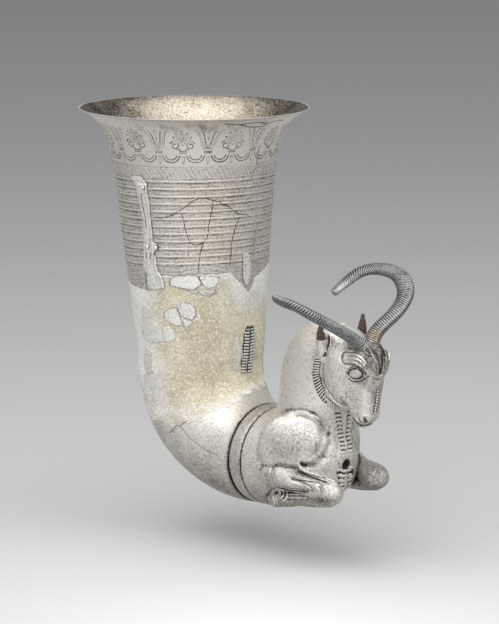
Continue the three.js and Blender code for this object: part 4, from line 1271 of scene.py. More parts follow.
def hollow_marks(points, quads, normals):
    """How deep each point lies in a hollow, from 0 to 1: tarnish stays there."""
    one, other = np.vstack([quads[:, [k, (k + 1) % 4]] for k in range(4)]).T
    count = np.maximum(np.bincount(np.concatenate([one, other]), minlength=len(points)), 1)

    def around(values):
        """Mean of the values at the neighbours of each point."""
        total = np.bincount(one, values[other], len(points)) + np.bincount(other, values[one], len(points))
        return total / count

    near = np.stack([around(column) for column in points.T], 1)
    depth = ((near - points) * normals).sum(1)
    for _ in range(2):
        depth = 0.5 * depth + 0.5 * around(depth)
    return np.clip(depth * HOLLOW_GAIN, 0, 1)


def drawn(points):
    """Where points fall in the front quarter view, in its units."""
    ray = points - EYE
    depth = -ray @ BACK
    return np.stack([VIEW_SIZE[0] / 2 + VIEW_FOCUS * (ray @ RIGHT) / depth,
                     VIEW_SIZE[1] / 2 - VIEW_FOCUS * (ray @ UP) / depth], 1)


# A step between two places of a path, in millimetres, that leaves one form for another.
JUMP = 4.0


def unbroken(path):
    """The longest stretch of a path that stays on one form."""
    breaks = np.flatnonzero(np.linalg.norm(np.diff(path, axis=0), axis=1) > JUMP) + 1
    return max(np.split(path, breaks), key=len)


def cast(surface, path, side, rise=0.0):
    """Drops a path drawn in the view onto a surface; side -1 gives its mirror image on the left."""
    turn = np.array([1.0, side, 1.0])
    lift = np.array([0, 0, rise * MM])
    eye = Vector(EYE * turn * MM + lift)
    spots = []
    for x, y in path:
        hit = surface.ray_cast(eye, Vector(sight(x, y) * turn * MM + lift) - eye)[0]
        if hit is not None:
            spots.append(np.array(hit) / MM)
    return np.array(spots)


def on_surface(surface, points):
    """The nearest places on a surface, and the directions out of it."""
    found = [surface.find_nearest(Vector(point * MM)) for point in points]
    places = np.array([np.array(hit) / MM for hit, *_ in found])
    return places, np.array([np.array(out) for _, out, *_ in found])


def surface_strip(surface, path, half, profile):
    """A strip of ornament that lies on a surface, closed below and at its ends."""
    spots, out = on_surface(surface, path)
    side = to_unit(np.cross(to_unit(np.gradient(spots, axis=0)), out))
    held = np.ones(len(spots))
    held[[0, -1]] = 0
    lanes = []
    for offset, height, _ in profile:
        lane, lane_out = on_surface(surface, spots + side * (offset * half * held)[:, None])
        lanes.append(lane + lane_out * (SUNK + (height - SUNK) * held)[:, None])
    lanes.append(spots + out * SUNK)
    for end in (0, -1):
        for lane in lanes:
            lane[end] = lanes[-1][end]
    marks = np.tile([dark for *_, dark in profile] + [1.0], len(spots))
    return np.stack(lanes, 1).reshape(-1, 3), grid_faces(len(spots), len(lanes), ring=True), marks


def ellipse_path(centre, half, tilt):
    """An ellipse drawn in the view."""
    turn = np.radians(np.linspace(0, 360, 48))
    x, y = half[0] * np.cos(turn), half[1] * np.sin(turn)
    lean = math.radians(tilt)
    return np.column_stack([centre[0] + x * math.cos(lean) - y * math.sin(lean),
                            centre[1] + x * math.sin(lean) + y * math.cos(lean)])


# How far from a drawn line, in units of the view, its relief is worked out.
LINE_REACH = 8


def path_gap(flat, path):
    """Distance of drawn points from a drawn path, in units."""
    path = np.asarray(path, float)
    gap = np.full(len(flat), FAR)
    near = np.all((flat > path.min(0) - LINE_REACH) & (flat < path.max(0) + LINE_REACH), axis=1)
    close, best = flat[near], np.full(near.sum(), FAR)
    for a, b in zip(path, path[1:]):
        run = b - a
        share = np.clip((close - a) @ run / max(run @ run, 1e-9), 0, 1)
        best = np.minimum(best, np.linalg.norm(close - a - share[:, None] * run, axis=1))
    gap[near] = best
    return gap


def drawn_lines(rows):
    """Smooth lines from rows of places, samples, half width and cross-section."""
    return [(smooth_path(places, count), half, profile) for places, count, half, profile in rows]


# Relief drawn in the front quarter view: middle and half sizes.
ROUNDEL = ((295.5, 438.0), (33.0, 27.5))
EYEBALL = ((355.7, 373.7), (7.2, 5.1))
BROW_PAD = ((353.5, 359.3), (12.5, 6.6))
# Folds sunk round the roundel: places, samples, depth and reach in millimetres.
SHOULDER_FOLDS = [
    ([(287, 441), (293.5, 428.7), (302.7, 424.7), (313, 429)], 16, 0.4, 2.4),
    ([(312, 414), (320, 423), (327, 434)], 12, 0.9, 2.2),
    ([(300.7, 463), (309, 466.6), (319, 463.6), (324.4, 457.7)], 14, 1.0, 2.0),
]
# Lines drawn in the same view: places, samples, half width in millimetres, cross-section.
SHOULDER_LINES = drawn_lines([
    ([(314, 417), (319, 421.6), (323, 427)], 14, 0.5, CHASED),
])
# Folds and tendons of the near knee, which the far one lacks.
KNEE_FOLDS = drawn_lines([
    ([(303.4, 459.6), (300, 460.2), (298.6, 464), (301.6, 468.6), (309, 472.8), (323, 477.4), (336, 481.6)],
     44, 1.1, CORD),
    ([(301, 472), (308, 476), (318, 479.4), (328, 482.8)], 30, 0.6, GROUND),
    ([(299.8, 462.4), (301.6, 464.4), (305, 465.6)], 12, 0.7, GROUND),
    ([(292.3, 478.4), (308.8, 481.4), (318.8, 482.6), (320.4, 485)], 24, 0.6, CHASED),
    ([(292.3, 478.8), (305, 483.4), (311.6, 487.4), (312.4, 491)], 24, 0.6, CHASED),
    ([(292.5, 478.6), (297, 480.2), (302, 482)], 14, 0.7, GROUND),
    ([(275.5, 487.6), (270.8, 489.6), (268.2, 494), (267.4, 500), (268.4, 504)], 24, 0.6, CHASED),
    ([(318, 485.5), (321, 490), (320.5, 496), (316, 500)], 16, 0.4, CHASED),
])
LEG_LINES = drawn_lines([
    ([(299, 467.7), (288.9, 466.4), (277.4, 464.9), (272.8, 467.9), (271.7, 474.6), (274, 482.7),
      (279.7, 485.5), (288.9, 487.8), (300.4, 489), (310.7, 490.7)], 60, 0.45, CHASED),
    ([(264.8, 475.8), (267.6, 477), (269.4, 483.8), (271.7, 486)], 16, 0.4, CHASED),
    ([(288.9, 492.6), (298, 492.9), (308.8, 493.2)], 18, 0.36, CHASED),
    ([(288.9, 494.2), (298, 494.5), (308.6, 494.8)], 18, 0.4, CORD),
    ([(288.8, 495.8), (298, 496.1), (308.4, 496.4)], 18, 0.36, CHASED),
    ([(288.8, 497.4), (298, 497.6), (308.2, 497.9)], 18, 0.4, CORD),
    ([(288.8, 499), (298, 499.2), (307.6, 499.4)], 18, 0.36, CHASED),
    ([(282.4, 490.6), (284, 494.5), (281.6, 500)], 20, 2.1, GROUND),
    ([(279.8, 490.4), (280.8, 492.4), (280, 494.4)], 14, 0.62, CORD),
    ([(283.4, 490.4), (284.4, 494), (282, 497.6), (279.4, 498.2)], 20, 0.72, CORD),
    ([(287, 490.5), (287.8, 495), (285.4, 499.4), (282.2, 500.8)], 20, 0.72, CORD),
    ([(273, 495), (274.4, 500.5), (274.4, 506)], 16, 0.45, CORD),
    ([(273.5, 486.6), (289.8, 490), (307, 491.6)], 24, 0.6, GROUND),
])
EYE_LINES = [
    (ellipse_path((355.7, 373.6), (7.2, 4.9), 8), 1.7, CHASED),
    (ellipse_path((356.1, 374.3), (9.6, 7.4), 10), 0.8, CHASED),
]
HEAD_LINES = drawn_lines([
    ([(364.3, 378.4), (366.5, 377.8), (369.5, 375.7)], 10, 0.8, CHASED),
    ([(341.8, 357.1), (343, 353.6), (346, 352.1), (353.6, 352.9), (361.4, 354.6), (366.4, 359.3)], 28, 0.75,
     CHASED),
    ([(341.8, 357.1), (342.5, 361), (345, 363.6), (354.3, 364.3), (359.3, 365)], 22, 0.75, CHASED),
    ([(345.6, 354.8), (355.1, 354.9), (362.6, 359.2), (366, 365)], 24, 0.72, CORD),
    ([(345, 358.6), (353.7, 358.2), (360.6, 361.2), (365, 366.6)], 24, 0.72, CORD),
    ([(345.4, 362), (351, 361.6), (357, 363.6), (362.6, 366.8)], 22, 0.66, CORD),
    ([(349, 347), (357, 349.5), (364.5, 354.5), (370, 362), (373, 371)], 24, 0.42, CHASED),
    ([(354, 345.5), (362, 349), (368.5, 355), (373, 364)], 22, 0.42, CHASED),
    ([(380.7, 342), (382.1, 355), (381.8, 365), (380, 375)], 26, 0.8, GROUND),
    ([(371.4, 357.1), (373.9, 363.6), (374.6, 372.1), (375.7, 376.4)], 22, 0.55, LOCK),
    ([(376.4, 360.7), (377.1, 369.3), (377.1, 375.7)], 18, 0.55, LOCK),
    ([(366, 345), (370.5, 351), (373.5, 358.5), (376, 366)], 22, 0.55, LOCK),
    ([(383.6, 347), (385.7, 357.9), (384.3, 372)], 22, 0.55, LOCK),
    ([(388.4, 349.3), (389, 357.9), (387.1, 365)], 18, 0.4, CHASED),
    ([(372.1, 377.1), (376.4, 380), (380.7, 377.9)], 14, 0.6, CHASED),
    ([(339.3, 397.1), (342.9, 401.4), (347.9, 406.4)], 16, 0.55, CHASED),
    ([(352.6, 416.4), (354.6, 419.6), (358.2, 423.2), (364, 425.2), (370.6, 423.8), (374.2, 420.6)], 28,
     1.2, CHASED),
    ([(356.5, 413.5), (359.5, 419.5), (361.5, 423)], 14, 0.5, CHASED),
    ([(362.2, 422), (361.4, 418), (363.6, 415.6), (368.4, 416.4), (371, 419.6)], 22, 0.6, CORD),
    ([(364.4, 418.2), (365.4, 420.2), (366.8, 422.4)], 12, 1.1, GROUND),
    ([(322.5, 359.3), (321.6, 366.4), (322.1, 377.9), (324.6, 387.1), (329.3, 395), (335, 402.1),
      (344, 408)], 44, 0.75, BEADED),
    ([(324.3, 359.3), (323.4, 366.4), (323.9, 377.5), (326.3, 386.4), (330.8, 394), (336.3, 400.8),
      (344.6, 406.4)], 44, 0.5, CHASED),
    ([(326.4, 334.5), (329, 338), (328.6, 344), (326.2, 350.5)], 18, 1.6, CHASED),
])
RUFF_LINE = [(318.4, 358), (316.6, 367.4), (316.2, 375), (318, 383.5), (321.4, 392), (326.7, 399.6),
             (333.8, 406)]


# Relief of drawn lines: how high a cord stands, how deep a groove goes, how much wider than the line.
LEG_RELIEF = (0.9, 0.6, 0.5)
HEAD_RELIEF = (0.4, 0.45, 0.25)


def oval_share(flat, middle, half):
    """How far out of an oval drawn points lie: 0 in its middle, 1 on it."""
    return np.hypot((flat[:, 0] - middle[0]) / half[0], (flat[:, 1] - middle[1]) / half[1])


def lines_relief(flat, lines, relief, height=0.0):
    """Height of cords and grooves at drawn points, in millimetres, on top of a height."""
    up, down, wider = relief
    for path, half, profile in lines:
        gap = path_gap(flat, path) * UNIT
        height = height + (-down if profile in (CHASED, GROUND) else up) * hump(gap, 0, half + wider)
    return height


def body_relief(flat):
    """Height of the shoulder's relief at drawn points, in millimetres."""
    middle, half = ROUNDEL
    ring = oval_share(flat, middle, half)
    towards = (flat[:, 0] - middle[0]) - 0.3 * (flat[:, 1] - middle[1])
    clear = np.clip(0.55 + towards / (1.5 * half[0]), 0.12, 1)
    rim = 0.3 * hump(ring, 0.93, 0.07) * clear
    grooves = (0.6 * hump(ring, 1.05, 0.09) + 0.4 * hump(ring, 0.82, 0.09)) * clear
    boss = 0.7 * np.clip(1 - (ring / 0.8) ** 2, 0, 1)
    height = rim - grooves + boss
    for places, count, depth, reach in SHOULDER_FOLDS:
        height = height - depth * hump(path_gap(flat, smooth_path(places, count)) * UNIT, 0, reach)
    return height


def leg_relief(flat):
    """Height of the forelegs' relief at drawn points, in millimetres."""
    return lines_relief(flat, LEG_LINES, LEG_RELIEF)


def fold_relief(flat):
    """Height of the near knee's folds at drawn points, in millimetres."""
    return lines_relief(flat, KNEE_FOLDS, LEG_RELIEF)


def head_relief(flat):
    """Height of the head's relief at drawn points, in millimetres."""
    eye = oval_share(flat, *EYEBALL)
    ball = 1.1 * np.clip(1 - eye ** 2, 0, 1) - 0.7 * hump(eye, 1.02, 0.14)
    lid = 0.5 * hump(eye, 1.22, 0.1)
    brow = 0.9 * np.clip(1 - oval_share(flat, *BROW_PAD) ** 2, 0, 1) ** 0.6
    return lines_relief(flat, HEAD_LINES, HEAD_RELIEF, ball + lid + brow)


def carve(points, normals, relief, rise, sides):
    """Raises and sinks the sides of the animal by relief drawn in the view."""
    lift = np.zeros(len(points))
    for side in sides:
        turn = np.array([1.0, side, 1.0])
        seen = points * turn - (0, 0, rise if side < 0 else 0)
        look = to_unit(EYE - seen)
        facing = np.clip(((normals * turn) * look).sum(1) * 4 - 0.4, 0, 1) * (seen[:, 1] < 1.5)
        lift += facing * relief(drawn(seen))
    return points + normals * lift[:, None]


def stain(obj, mark, values):
    """Adds a point attribute to a finished piece."""
    layer = obj.data.attributes.new(mark, "FLOAT", "POINT")
    layer.data.foreach_set("value", np.asarray(values, np.float32))


def places_of(obj):
    """The points of a piece, in millimetres."""
    flat = np.empty(3 * len(obj.data.vertices), np.float32)
    obj.data.vertices.foreach_get("co", flat)
    return flat.reshape(-1, 3) / MM


def animal_surface():
    """The body and the head as one surface to lay ornament on."""
    points, faces = [], []
    for name in ("forepart_body", "forepart_head"):
        obj = bpy.data.objects[name]
        faces += [[len(points) + corner for corner in face.vertices] for face in obj.data.polygons]
        points += [vertex.co.copy() for vertex in obj.data.vertices]
    return BVHTree.FromPolygons(points, faces)


# The rim: depth below the mouth where the outside ends, then rows over the top edge, depth and height.
LIP_SIDE = 0.9
LIP = ((0.3, 0.0), (0.0, -0.35), (0.0, -1.6), (0.25, -2.9))
# Columns round each shell and rows down it.
BEAKER_GRID = (320, 220)
FILL_GRID = (260, 120)
ELBOW_GRID = (260, 100)
# Half the gap between two sheets, and how far under the outside a point counts as inside.
SEAM = 0.15
INSIDE = -0.4
# The fill: thickness, how far it laps over the elbow, and how thick the lap is.
FILL_DEPTH = 2.8
FILL_LAP = 8.0
FILL_SKIN = 0.22
# Grey smear on the fill: its reach from the edges, where it covers the left in degrees, and a lobe by its
# foot below the mouth and its edge in degrees.
SMEAR_REACH = 9
SMEAR_LEFT = -78
LOBE_FOOT = 122
LOBE_EDGE = -14
# The beaker's marks, in degrees round the horn and millimetres below the mouth, each with its reach: the
# brightest and warmest side of the ridges, the painted shade under the lip, and the clear side of the
# frieze.
BRIGHT_SIDE = (-30, 26)
LIP_SHADE = ((-36, 32), (6, 4.5))
CLEAR_SIDE = (-42, 22)
# Half width of the highlight painted on a ridge's crest, as a share of the pitch.
CREST_HIGHLIGHT = 0.09
# Streaks between the ridges, of tarnish and painted sheen, and tarnish on the plain band under them.
STREAK = 0.18
COLLAR = 0.24


def beaker_marks(points):
    """Tarnish, painted shade and highlight, and warmth of the beaker: outside by ridges, lip and frieze,
    inside by depth.
    """
    degrees, depth, outside = np.degrees(points[:, 0] / UNROLL), -points[:, 1], points[:, 2] > INSIDE
    ridge = (depth - RIDGE_START) / RIDGE_PITCH
    ridged = (ridge > -0.5) & (ridge < RIDGE_COUNT - 0.5) & outside
    below = ridge - np.round(ridge)
    bright = hump(degrees, *BRIGHT_SIDE)
    # Between the ridges, a thin dark line of painted shadow just under each crest and a fainter one above
    # it, on tarnished ground.
    ground = 0.16 + 0.6 * hump(below, 0.2, 0.1) + 0.2 * hump(below, -0.2, 0.1)
    streaks = np.sin(2.9 * depth + 3 * np.sin(0.13 * degrees)) * np.sin(0.09 * degrees + 0.7 * depth)
    ground += STREAK * streaks
    # A highlight is painted on each crest.
    ground = np.where(np.abs(below) < CREST_HIGHLIGHT, -0.3, ground * (1 - 0.1 * bright))
    around, down = LIP_SHADE
    # Painted shade under the overhanging lip, mottled.
    under_lip = 0.8 * hump(depth, *down) * hump(degrees, *around)
    mottled = 0.6 + 0.25 * np.sin(0.31 * degrees + np.sin(0.6 * depth))
    under_lip *= mottled + 0.2 * np.sin(0.83 * degrees - 0.2 * depth)
    clouds = 0.5 + 0.3 * np.sin(0.17 * degrees + 1.1) + 0.2 * np.sin(0.45 * degrees + 0.3 * depth)
    plain = under_lip - 0.3 + 0.34 * clouds * (1 - hump(degrees, *CLEAR_SIDE))
    plain = np.where(ridge > RIDGE_COUNT - 0.5, COLLAR + STREAK * streaks, plain)
    # Inside, the wall is darkened all over, most at its ends and just under the rim: painted shade with
    # some tarnish.
    ends = np.abs(np.sin(np.radians(degrees - 140))) ** 2.4 * np.exp(-depth / 60)
    inside = np.clip(0.25 + 1.1 * ends + 0.4 * np.exp(-depth / 2), 0, 0.95)
    return {"tarnish": np.where(outside, np.where(ridged, ground, plain), inside),
            "warmth": np.where(outside, 0.25 * ridged * bright, 0.5)}


class RHYTON_OT_beaker(bpy.types.Operator):
    """Beaker wall with its rim, level ridges and cracks"""
    bl_idname = "rhyton.beaker"
    bl_label = "Beaker"

    def execute(self, context):
        relief = context.scene.rhyton_vessel.ridge_relief
        silver = finishes()["chased_silver"]
        points, faces = shell_layout(lambda degrees: 0 * degrees + LIP_SIDE,
                                     lambda degrees: edge_at(WALL_EDGE, degrees) - SEAM,
                                     sheet_depth, *BEAKER_GRID, LIP)
        wrapped("beaker", (points, faces, beaker_marks(points)), silver, "beaker_wall", relief)
        wrapped("beaker_cracks", cracked(CRACKS, 0.4), silver, "beaker_wall", relief)
        return {"FINISHED"}


# Degrees where the frieze starts; depth of the line under the lip; half width of the border lines.
FRIEZE_START = -46.5
LIP_LINE = 1.3
BORDER_HALF = 0.55


class RHYTON_OT_frieze(bpy.types.Operator):
    """Frieze of palmettes and lotuses, and the cable band under it"""
    bl_idname = "rhyton.frieze"
    bl_label = "Frieze"

    def execute(self, context):
        vessel = context.scene.rhyton_vessel
        silver = finishes()["chased_silver"]
        tree = frieze_tree()
        rows = [("frieze", motif_shape(), vessel.motif_pairs),
                ("cable_band", strand_shape(), vessel.cable_strands)]
        for name, shape, count in rows:
            motif = mesh_object(name + "_motif", *shape[:2], {"tarnish": shape[2]})
            source = mesh_object(name + "_source", [], [])
            piece = grown(name, source, tree, {
                "Motif": motif, "Count": count, "Start": math.radians(FRIEZE_START) * UNROLL * MM,
                "Unevenness": vessel.unevenness, "Finish": silver})
            bpy.data.objects.remove(motif)
            dress(piece, SILVER_SLOT, "beaker_wall")
        borders = [ring_line(depth, BORDER_HALF, BEADED) for depth in (LIP_LINE, BAND_TOP, BAND_FOOT)]
        wrapped("band_borders", joined(borders), silver, "beaker_wall")
        return {"FINISHED"}


class RHYTON_OT_fill(bpy.types.Operator):
    """Restoration fill between the beaker and the elbow"""
    bl_idname = "rhyton.fill"
    bl_label = "Fill"

    def execute(self, context):
        points, faces = shell_layout(lambda degrees: edge_at(WALL_EDGE, degrees) + SEAM,
                                     lambda degrees: edge_at(ELBOW_EDGE, degrees) + FILL_LAP,
                                     lambda s: FILL_DEPTH + 0 * s, *FILL_GRID)
        degrees = np.degrees(points[:, 0] / UNROLL)
        above = -points[:, 1] - edge_at(WALL_EDGE, degrees)
        below = edge_at(ELBOW_EDGE, degrees) + points[:, 1]
        height = points[:, 1]
        patchy = 0.5 + 0.5 * np.sin(degrees * 0.21 + height * 0.3) * np.sin(degrees * 0.083 - height * 0.17)
        lapped = np.clip(1 - (below + 1) / 5, 0, 1) * (points[:, 2] > INSIDE)
        points[:, 2] += lapped * FILL_SKIN * (0.35 + patchy + below / FILL_LAP)
        edges = np.clip(1 - np.minimum(above, below) / SMEAR_REACH, 0, 1) * patchy
        left = 1 / (1 + np.exp((degrees - SMEAR_LEFT + 6 * patchy) / 5))
        lobe = 1 / (1 + np.exp((-height - LOBE_FOOT - 8 * patchy) / 4))
        lobe = lobe / (1 + np.exp(-(degrees - LOBE_EDGE) / 5))
        smear = np.clip(edges + left * np.clip((below + 2) / 16, 0.1, 1) + lobe, 0, 1)
        finish = finishes()["gritted_resin_fill"]
        wrapped("resin_fill", (points, faces, {"smear": smear}), finish, "fill_shell", slot="fill_resin")
        return {"FINISHED"}


# Old seams on the elbow: depth below the mouth, degrees round the horn.
ELBOW_SEAMS = [
    [(199, -105), (200, -96), (202, -87), (215, -87.5), (240, -88)],
    [(202, -87), (204, -76), (206, -68)],
    [(190, 120), (205, 128), (222, 124)],
]


class RHYTON_OT_elbow(bpy.types.Operator):
    """Smooth silver elbow with its soldered seams"""
    bl_idname = "rhyton.elbow"
    bl_label = "Elbow"

    def execute(self, context):
        silver = finishes()["raised_silver"]
        points, faces = shell_layout(lambda degrees: edge_at(ELBOW_EDGE, degrees) + SEAM,
                                     lambda degrees: 0 * degrees + HORN_LENGTH,
                                     lambda s: SHEET + 0 * s, *ELBOW_GRID)
        degrees, depth = np.degrees(points[:, 0] / UNROLL), -points[:, 1]
        edge = edge_at(ELBOW_EDGE, degrees)
        marks = 0.15 * np.exp(-np.abs(depth - edge) / 1.2) + 0.9 * np.exp(-(HORN_LENGTH - depth) / 0.9)
        low = on_horn(degrees, depth, 0.0)[0][:, 2]
        # Darker towards the bottom: painted shade.
        marks += 0.34 * hump(np.maximum(low, 0), 0, 30)
        # Darker on the left side of the elbow: painted shade.
        marks += 0.16 * hump(degrees, -132, 24)
        wrapped("elbow", (points, faces, marks), silver, "elbow_shell")
        wrapped("elbow_seams", cracked(ELBOW_SEAMS, 0.36), silver, "elbow_shell")
        return {"FINISHED"}


# How high fragments stand, and those whose dark edge is faint.
FRAGMENT_HEIGHT = 0.3
OBLONG_HEIGHT = 0.35
FAINT = ("fragment_flank_a", "fragment_flank_b")
FAINT_EDGE = 0.45
# Long fragments: depth below the mouth, degrees, half width and half length.
STRIP_PLACE = (160, -5, 3.0, 17)
FEATHER_PLACE = (159, 9.5, 6.0, 24)
# The feather's bars: size at the pointed top, and how fast they grow below it.
FEATHER_TIP = 0.3
FEATHER_TAPER = 6.0
# Share of its length with bars; their place aside, slant, half length and half width, and height.
FEATHER_SPAN = 0.9
FEATHER_ASIDE = 0.46
FEATHER_SLANT = 0.12
FEATHER_BAR = (2.3, 0.8)
FEATHER_RISE = 0.3
# Samples along a bar.
SPINE_PLACES = 11


class RHYTON_OT_fragments(bpy.types.Operator):
    """Pieces of the old wall let into the fill"""
    bl_idname = "rhyton.fragments"
    bl_label = "Fragments"

    def execute(self, context):
        silver = finishes()["repair_silver"]
        for node, shards in FRAGMENTS.items():
            edge = FAINT_EDGE if node in FAINT else 1.0
            shape = joined([shard(corners, FRAGMENT_HEIGHT, dull, edge) for corners, dull in shards])
            wrapped(node + "_silver", shape, silver, node)
        points, faces, marks = dome(oblong_outline(*STRIP_PLACE), OBLONG_HEIGHT, PLATE)
        wrapped("strip_silver", (points, faces, FAINT_EDGE * marks), silver, "fragment_strip")
        points, faces, marks = dome(oblong_outline(*FEATHER_PLACE), OBLONG_HEIGHT)
        wrapped("feather_ground", (points, faces, np.maximum(marks, 0.9)), silver, "fragment_feather")
        self.feather(context.scene.rhyton_vessel.feather_bars, silver)
        return {"FINISHED"}

    def feather(self, bars, silver):
        """Two columns of slanted bars on the feather fragment."""
        s, degrees, across, down = FEATHER_PLACE
        depth = np.linspace(s - down * FEATHER_SPAN, s + down * FEATHER_SPAN, 200)
        line = on_horn(degrees, depth, 0.0)[0]
        run = np.concatenate([[0], np.cumsum(np.linalg.norm(np.diff(line, axis=0), axis=1))])
        depth = np.tile(np.interp(np.linspace(0, run[-1], bars), run, depth), 2)
        side = np.repeat([-1.0, 1.0], bars)
        size = np.tile(np.clip(np.linspace(FEATHER_TIP, FEATHER_TAPER, bars), 0, 1), 2)
        aside = np.degrees(side * size * across * FEATHER_ASIDE / radius_at(depth, math.radians(degrees)))
        points, out, upward = on_horn(degrees + aside, depth, FEATHER_RISE)
        heading = np.cross(upward, out) + upward * (FEATHER_SLANT * side)[:, None]
        long, wide = FEATHER_BAR
        spine = np.column_stack([np.linspace(-long, long, SPINE_PLACES), np.zeros(SPINE_PLACES)])
        bar = strip(spine, wide, RUNG)
        in_a_row("feather_bars", bar, points, out, heading, silver, "fragment_feather", size=size)


# Straps drawn in the view: left edge, right edge, plates that belong to them, and slots.
STRAPS = {
    "strap_long": (
        [(136.5, 183.1), (136.8, 190), (139.4, 201.3), (142.8, 217.5), (143.8, 235), (144.4, 251.3),
         (143.5, 263.8), (146.3, 271.3), (147.5, 285), (149.8, 290)],
        [(147.5, 183.8), (147.8, 191.9), (149.8, 202.5), (151.3, 217.5), (153.1, 233.8), (154.5, 250),
         (156.9, 258.8), (158.5, 270), (163.1, 277.5), (165.6, 288.1)],
        [[(130.6, 176.9), (133.1, 174.8), (142.8, 176.3), (144.4, 180), (148, 184), (147, 187.5),
          (137, 186), (133.8, 181.3)],
         [(152.5, 241), (157.3, 243.8), (156.5, 247.5), (155.6, 251.5), (152.8, 250)]],
        [[(147.3, 251.5), (147.4, 255), (147.5, 258.5)], [(151.4, 251.5), (151.3, 256), (151.2, 260)],
         [(154.6, 252.5), (154.8, 256), (155.2, 259)], [(147.3, 272), (147, 280), (149, 289)],
         [(141.5, 190), (143.4, 203), (146, 217), (147.5, 232)]],
    ),
    "strap_short": (
        [(243, 253.6), (242.6, 258), (242.8, 266), (242.6, 274), (243.3, 281), (245.2, 284.6)],
        [(248, 253.2), (249.4, 257), (250.5, 265), (250.2, 274), (248.2, 281.3), (245.8, 284.8)],
        [],
        [[(245.2, 256.2), (245.7, 257), (246.2, 257.8)]],
    ),
}
# Rivets: depth below the mouth and degrees. One rivet's lathe profile: radius, height and tarnish.
RIVETS = [(45.8, -78), (83.2, -79), (83.6, -71)]
RIVET = ((0, -1, 1), (1.5, -1, 1), (1.5, 0.15, 1), (1.2, 0.6, 0.2), (0.6, 0.85, 0), (0, 0.92, 0))
# How high a strap stands, and its plates; half width of a slot.
STRAP_TOP = 0.9
STRAP_PLATE = 0.8
SLOT_HALF = 0.4


class RHYTON_OT_straps(bpy.types.Operator):
    """Repair straps and their rivets"""
    bl_idname = "rhyton.straps"
    bl_label = "Straps"

    def execute(self, context):
        silver = finishes()["repair_silver"]
        for node, (left, right, plates, slots) in STRAPS.items():
            edges = [laid(smooth_path(edge, 60)) for edge in (left, right)]
            blunt = [np.vstack([edge[:1], edge, edge[-1:]]) for edge in edges]
            parts = [ribbon(*blunt, STRAPPED)]
            parts += [shard(corners, STRAP_PLATE) for corners in plates]
            parts += [strip(laid(smooth_path(slot, 14)), SLOT_HALF, CRACKED, STRAP_TOP) for slot in slots]
            wrapped(node + "_silver", joined(parts), silver, node)
        depth, degrees = np.array(RIVETS).T
        points, out, upward = on_horn(degrees, depth, STRAP_TOP)
        stud = turned_shape(RIVET, 20)
        in_a_row("rivets", stud, points, out, upward, silver, "strap_rivet_1", "strap_rivet_2",
                 "strap_rivet_3")
        return {"FINISHED"}


# Lathe profiles: radius, place along the axis, tarnish. The sleeve's band is darkened a little all over,
# partly as painted shade.
SLEEVE = ((28, -5.3, 1), (29.9, -5.4, 1), (30.4, -5.2, 0.8), (30.95, -4.6, 0.45), (31.05, -3, 0.3),
          (30.9, 0, 0.35), (31.05, 3, 0.3), (30.95, 4.2, 0.45), (30.4, 4.8, 0.8), (29.9, 5.0, 1),
          (28, 4.9, 1), (28, -5.3, 1))
SPOUT = ((3.3, -4.5, 1), (4.6, -4.5, 1), (4.75, -1.2, 0.6), (5.0, 0.6, 0.1), (4.75, 1.9, 0), (4.1, 2.5, 0),
         (3.5, 2.0, 0.3), (3.3, 0.8, 0.9), (3.3, -4.5, 1))
# Gilding on the back of the sleeve, and how far the spout stands out of the chest.
SLEEVE_GILT_BEHIND = -3
SLEEVE_GILT = 0.8
SPOUT_OUT = 0.9


def turned_piece(name, lathe, columns, middle, finish, node):
    """A ring turned about the level axis, set at its middle."""
    points, faces, marks = turned_shape(lathe, columns)
    return made(name, (points[:, [2, 0, 1]] + middle, faces, marks), finish, node)


class RHYTON_OT_rings(bpy.types.Operator):
    """Sleeve between horn and animal, and the rim of the pouring hole"""
    bl_idname = "rhyton.rings"
    bl_label = "Sleeve and spout"

    def execute(self, context):
        silver = finishes()["raised_silver"]
        sleeve = turned_piece("sleeve", SLEEVE, 160, (0, 0, JOINT_HEIGHT), silver, "joint_sleeve")
        place = places_of(sleeve)
        stain(sleeve, "gilt", np.where(place[:, 0] < SLEEVE_GILT_BEHIND, SLEEVE_GILT, 0.0))
        turned_piece("spout", SPOUT, 56, (CHEST_X + SPOUT_OUT, 0, SPOUT_HEIGHT), silver, "spout_ring")
        return {"FINISHED"}


# The boxes that hold the body and the head: lowest and highest corner.
BODY_ROOM = ((4, -38, -3), (90, 38, 126))
HEAD_ROOM = ((60, -19, 57), (101, 19, 125))


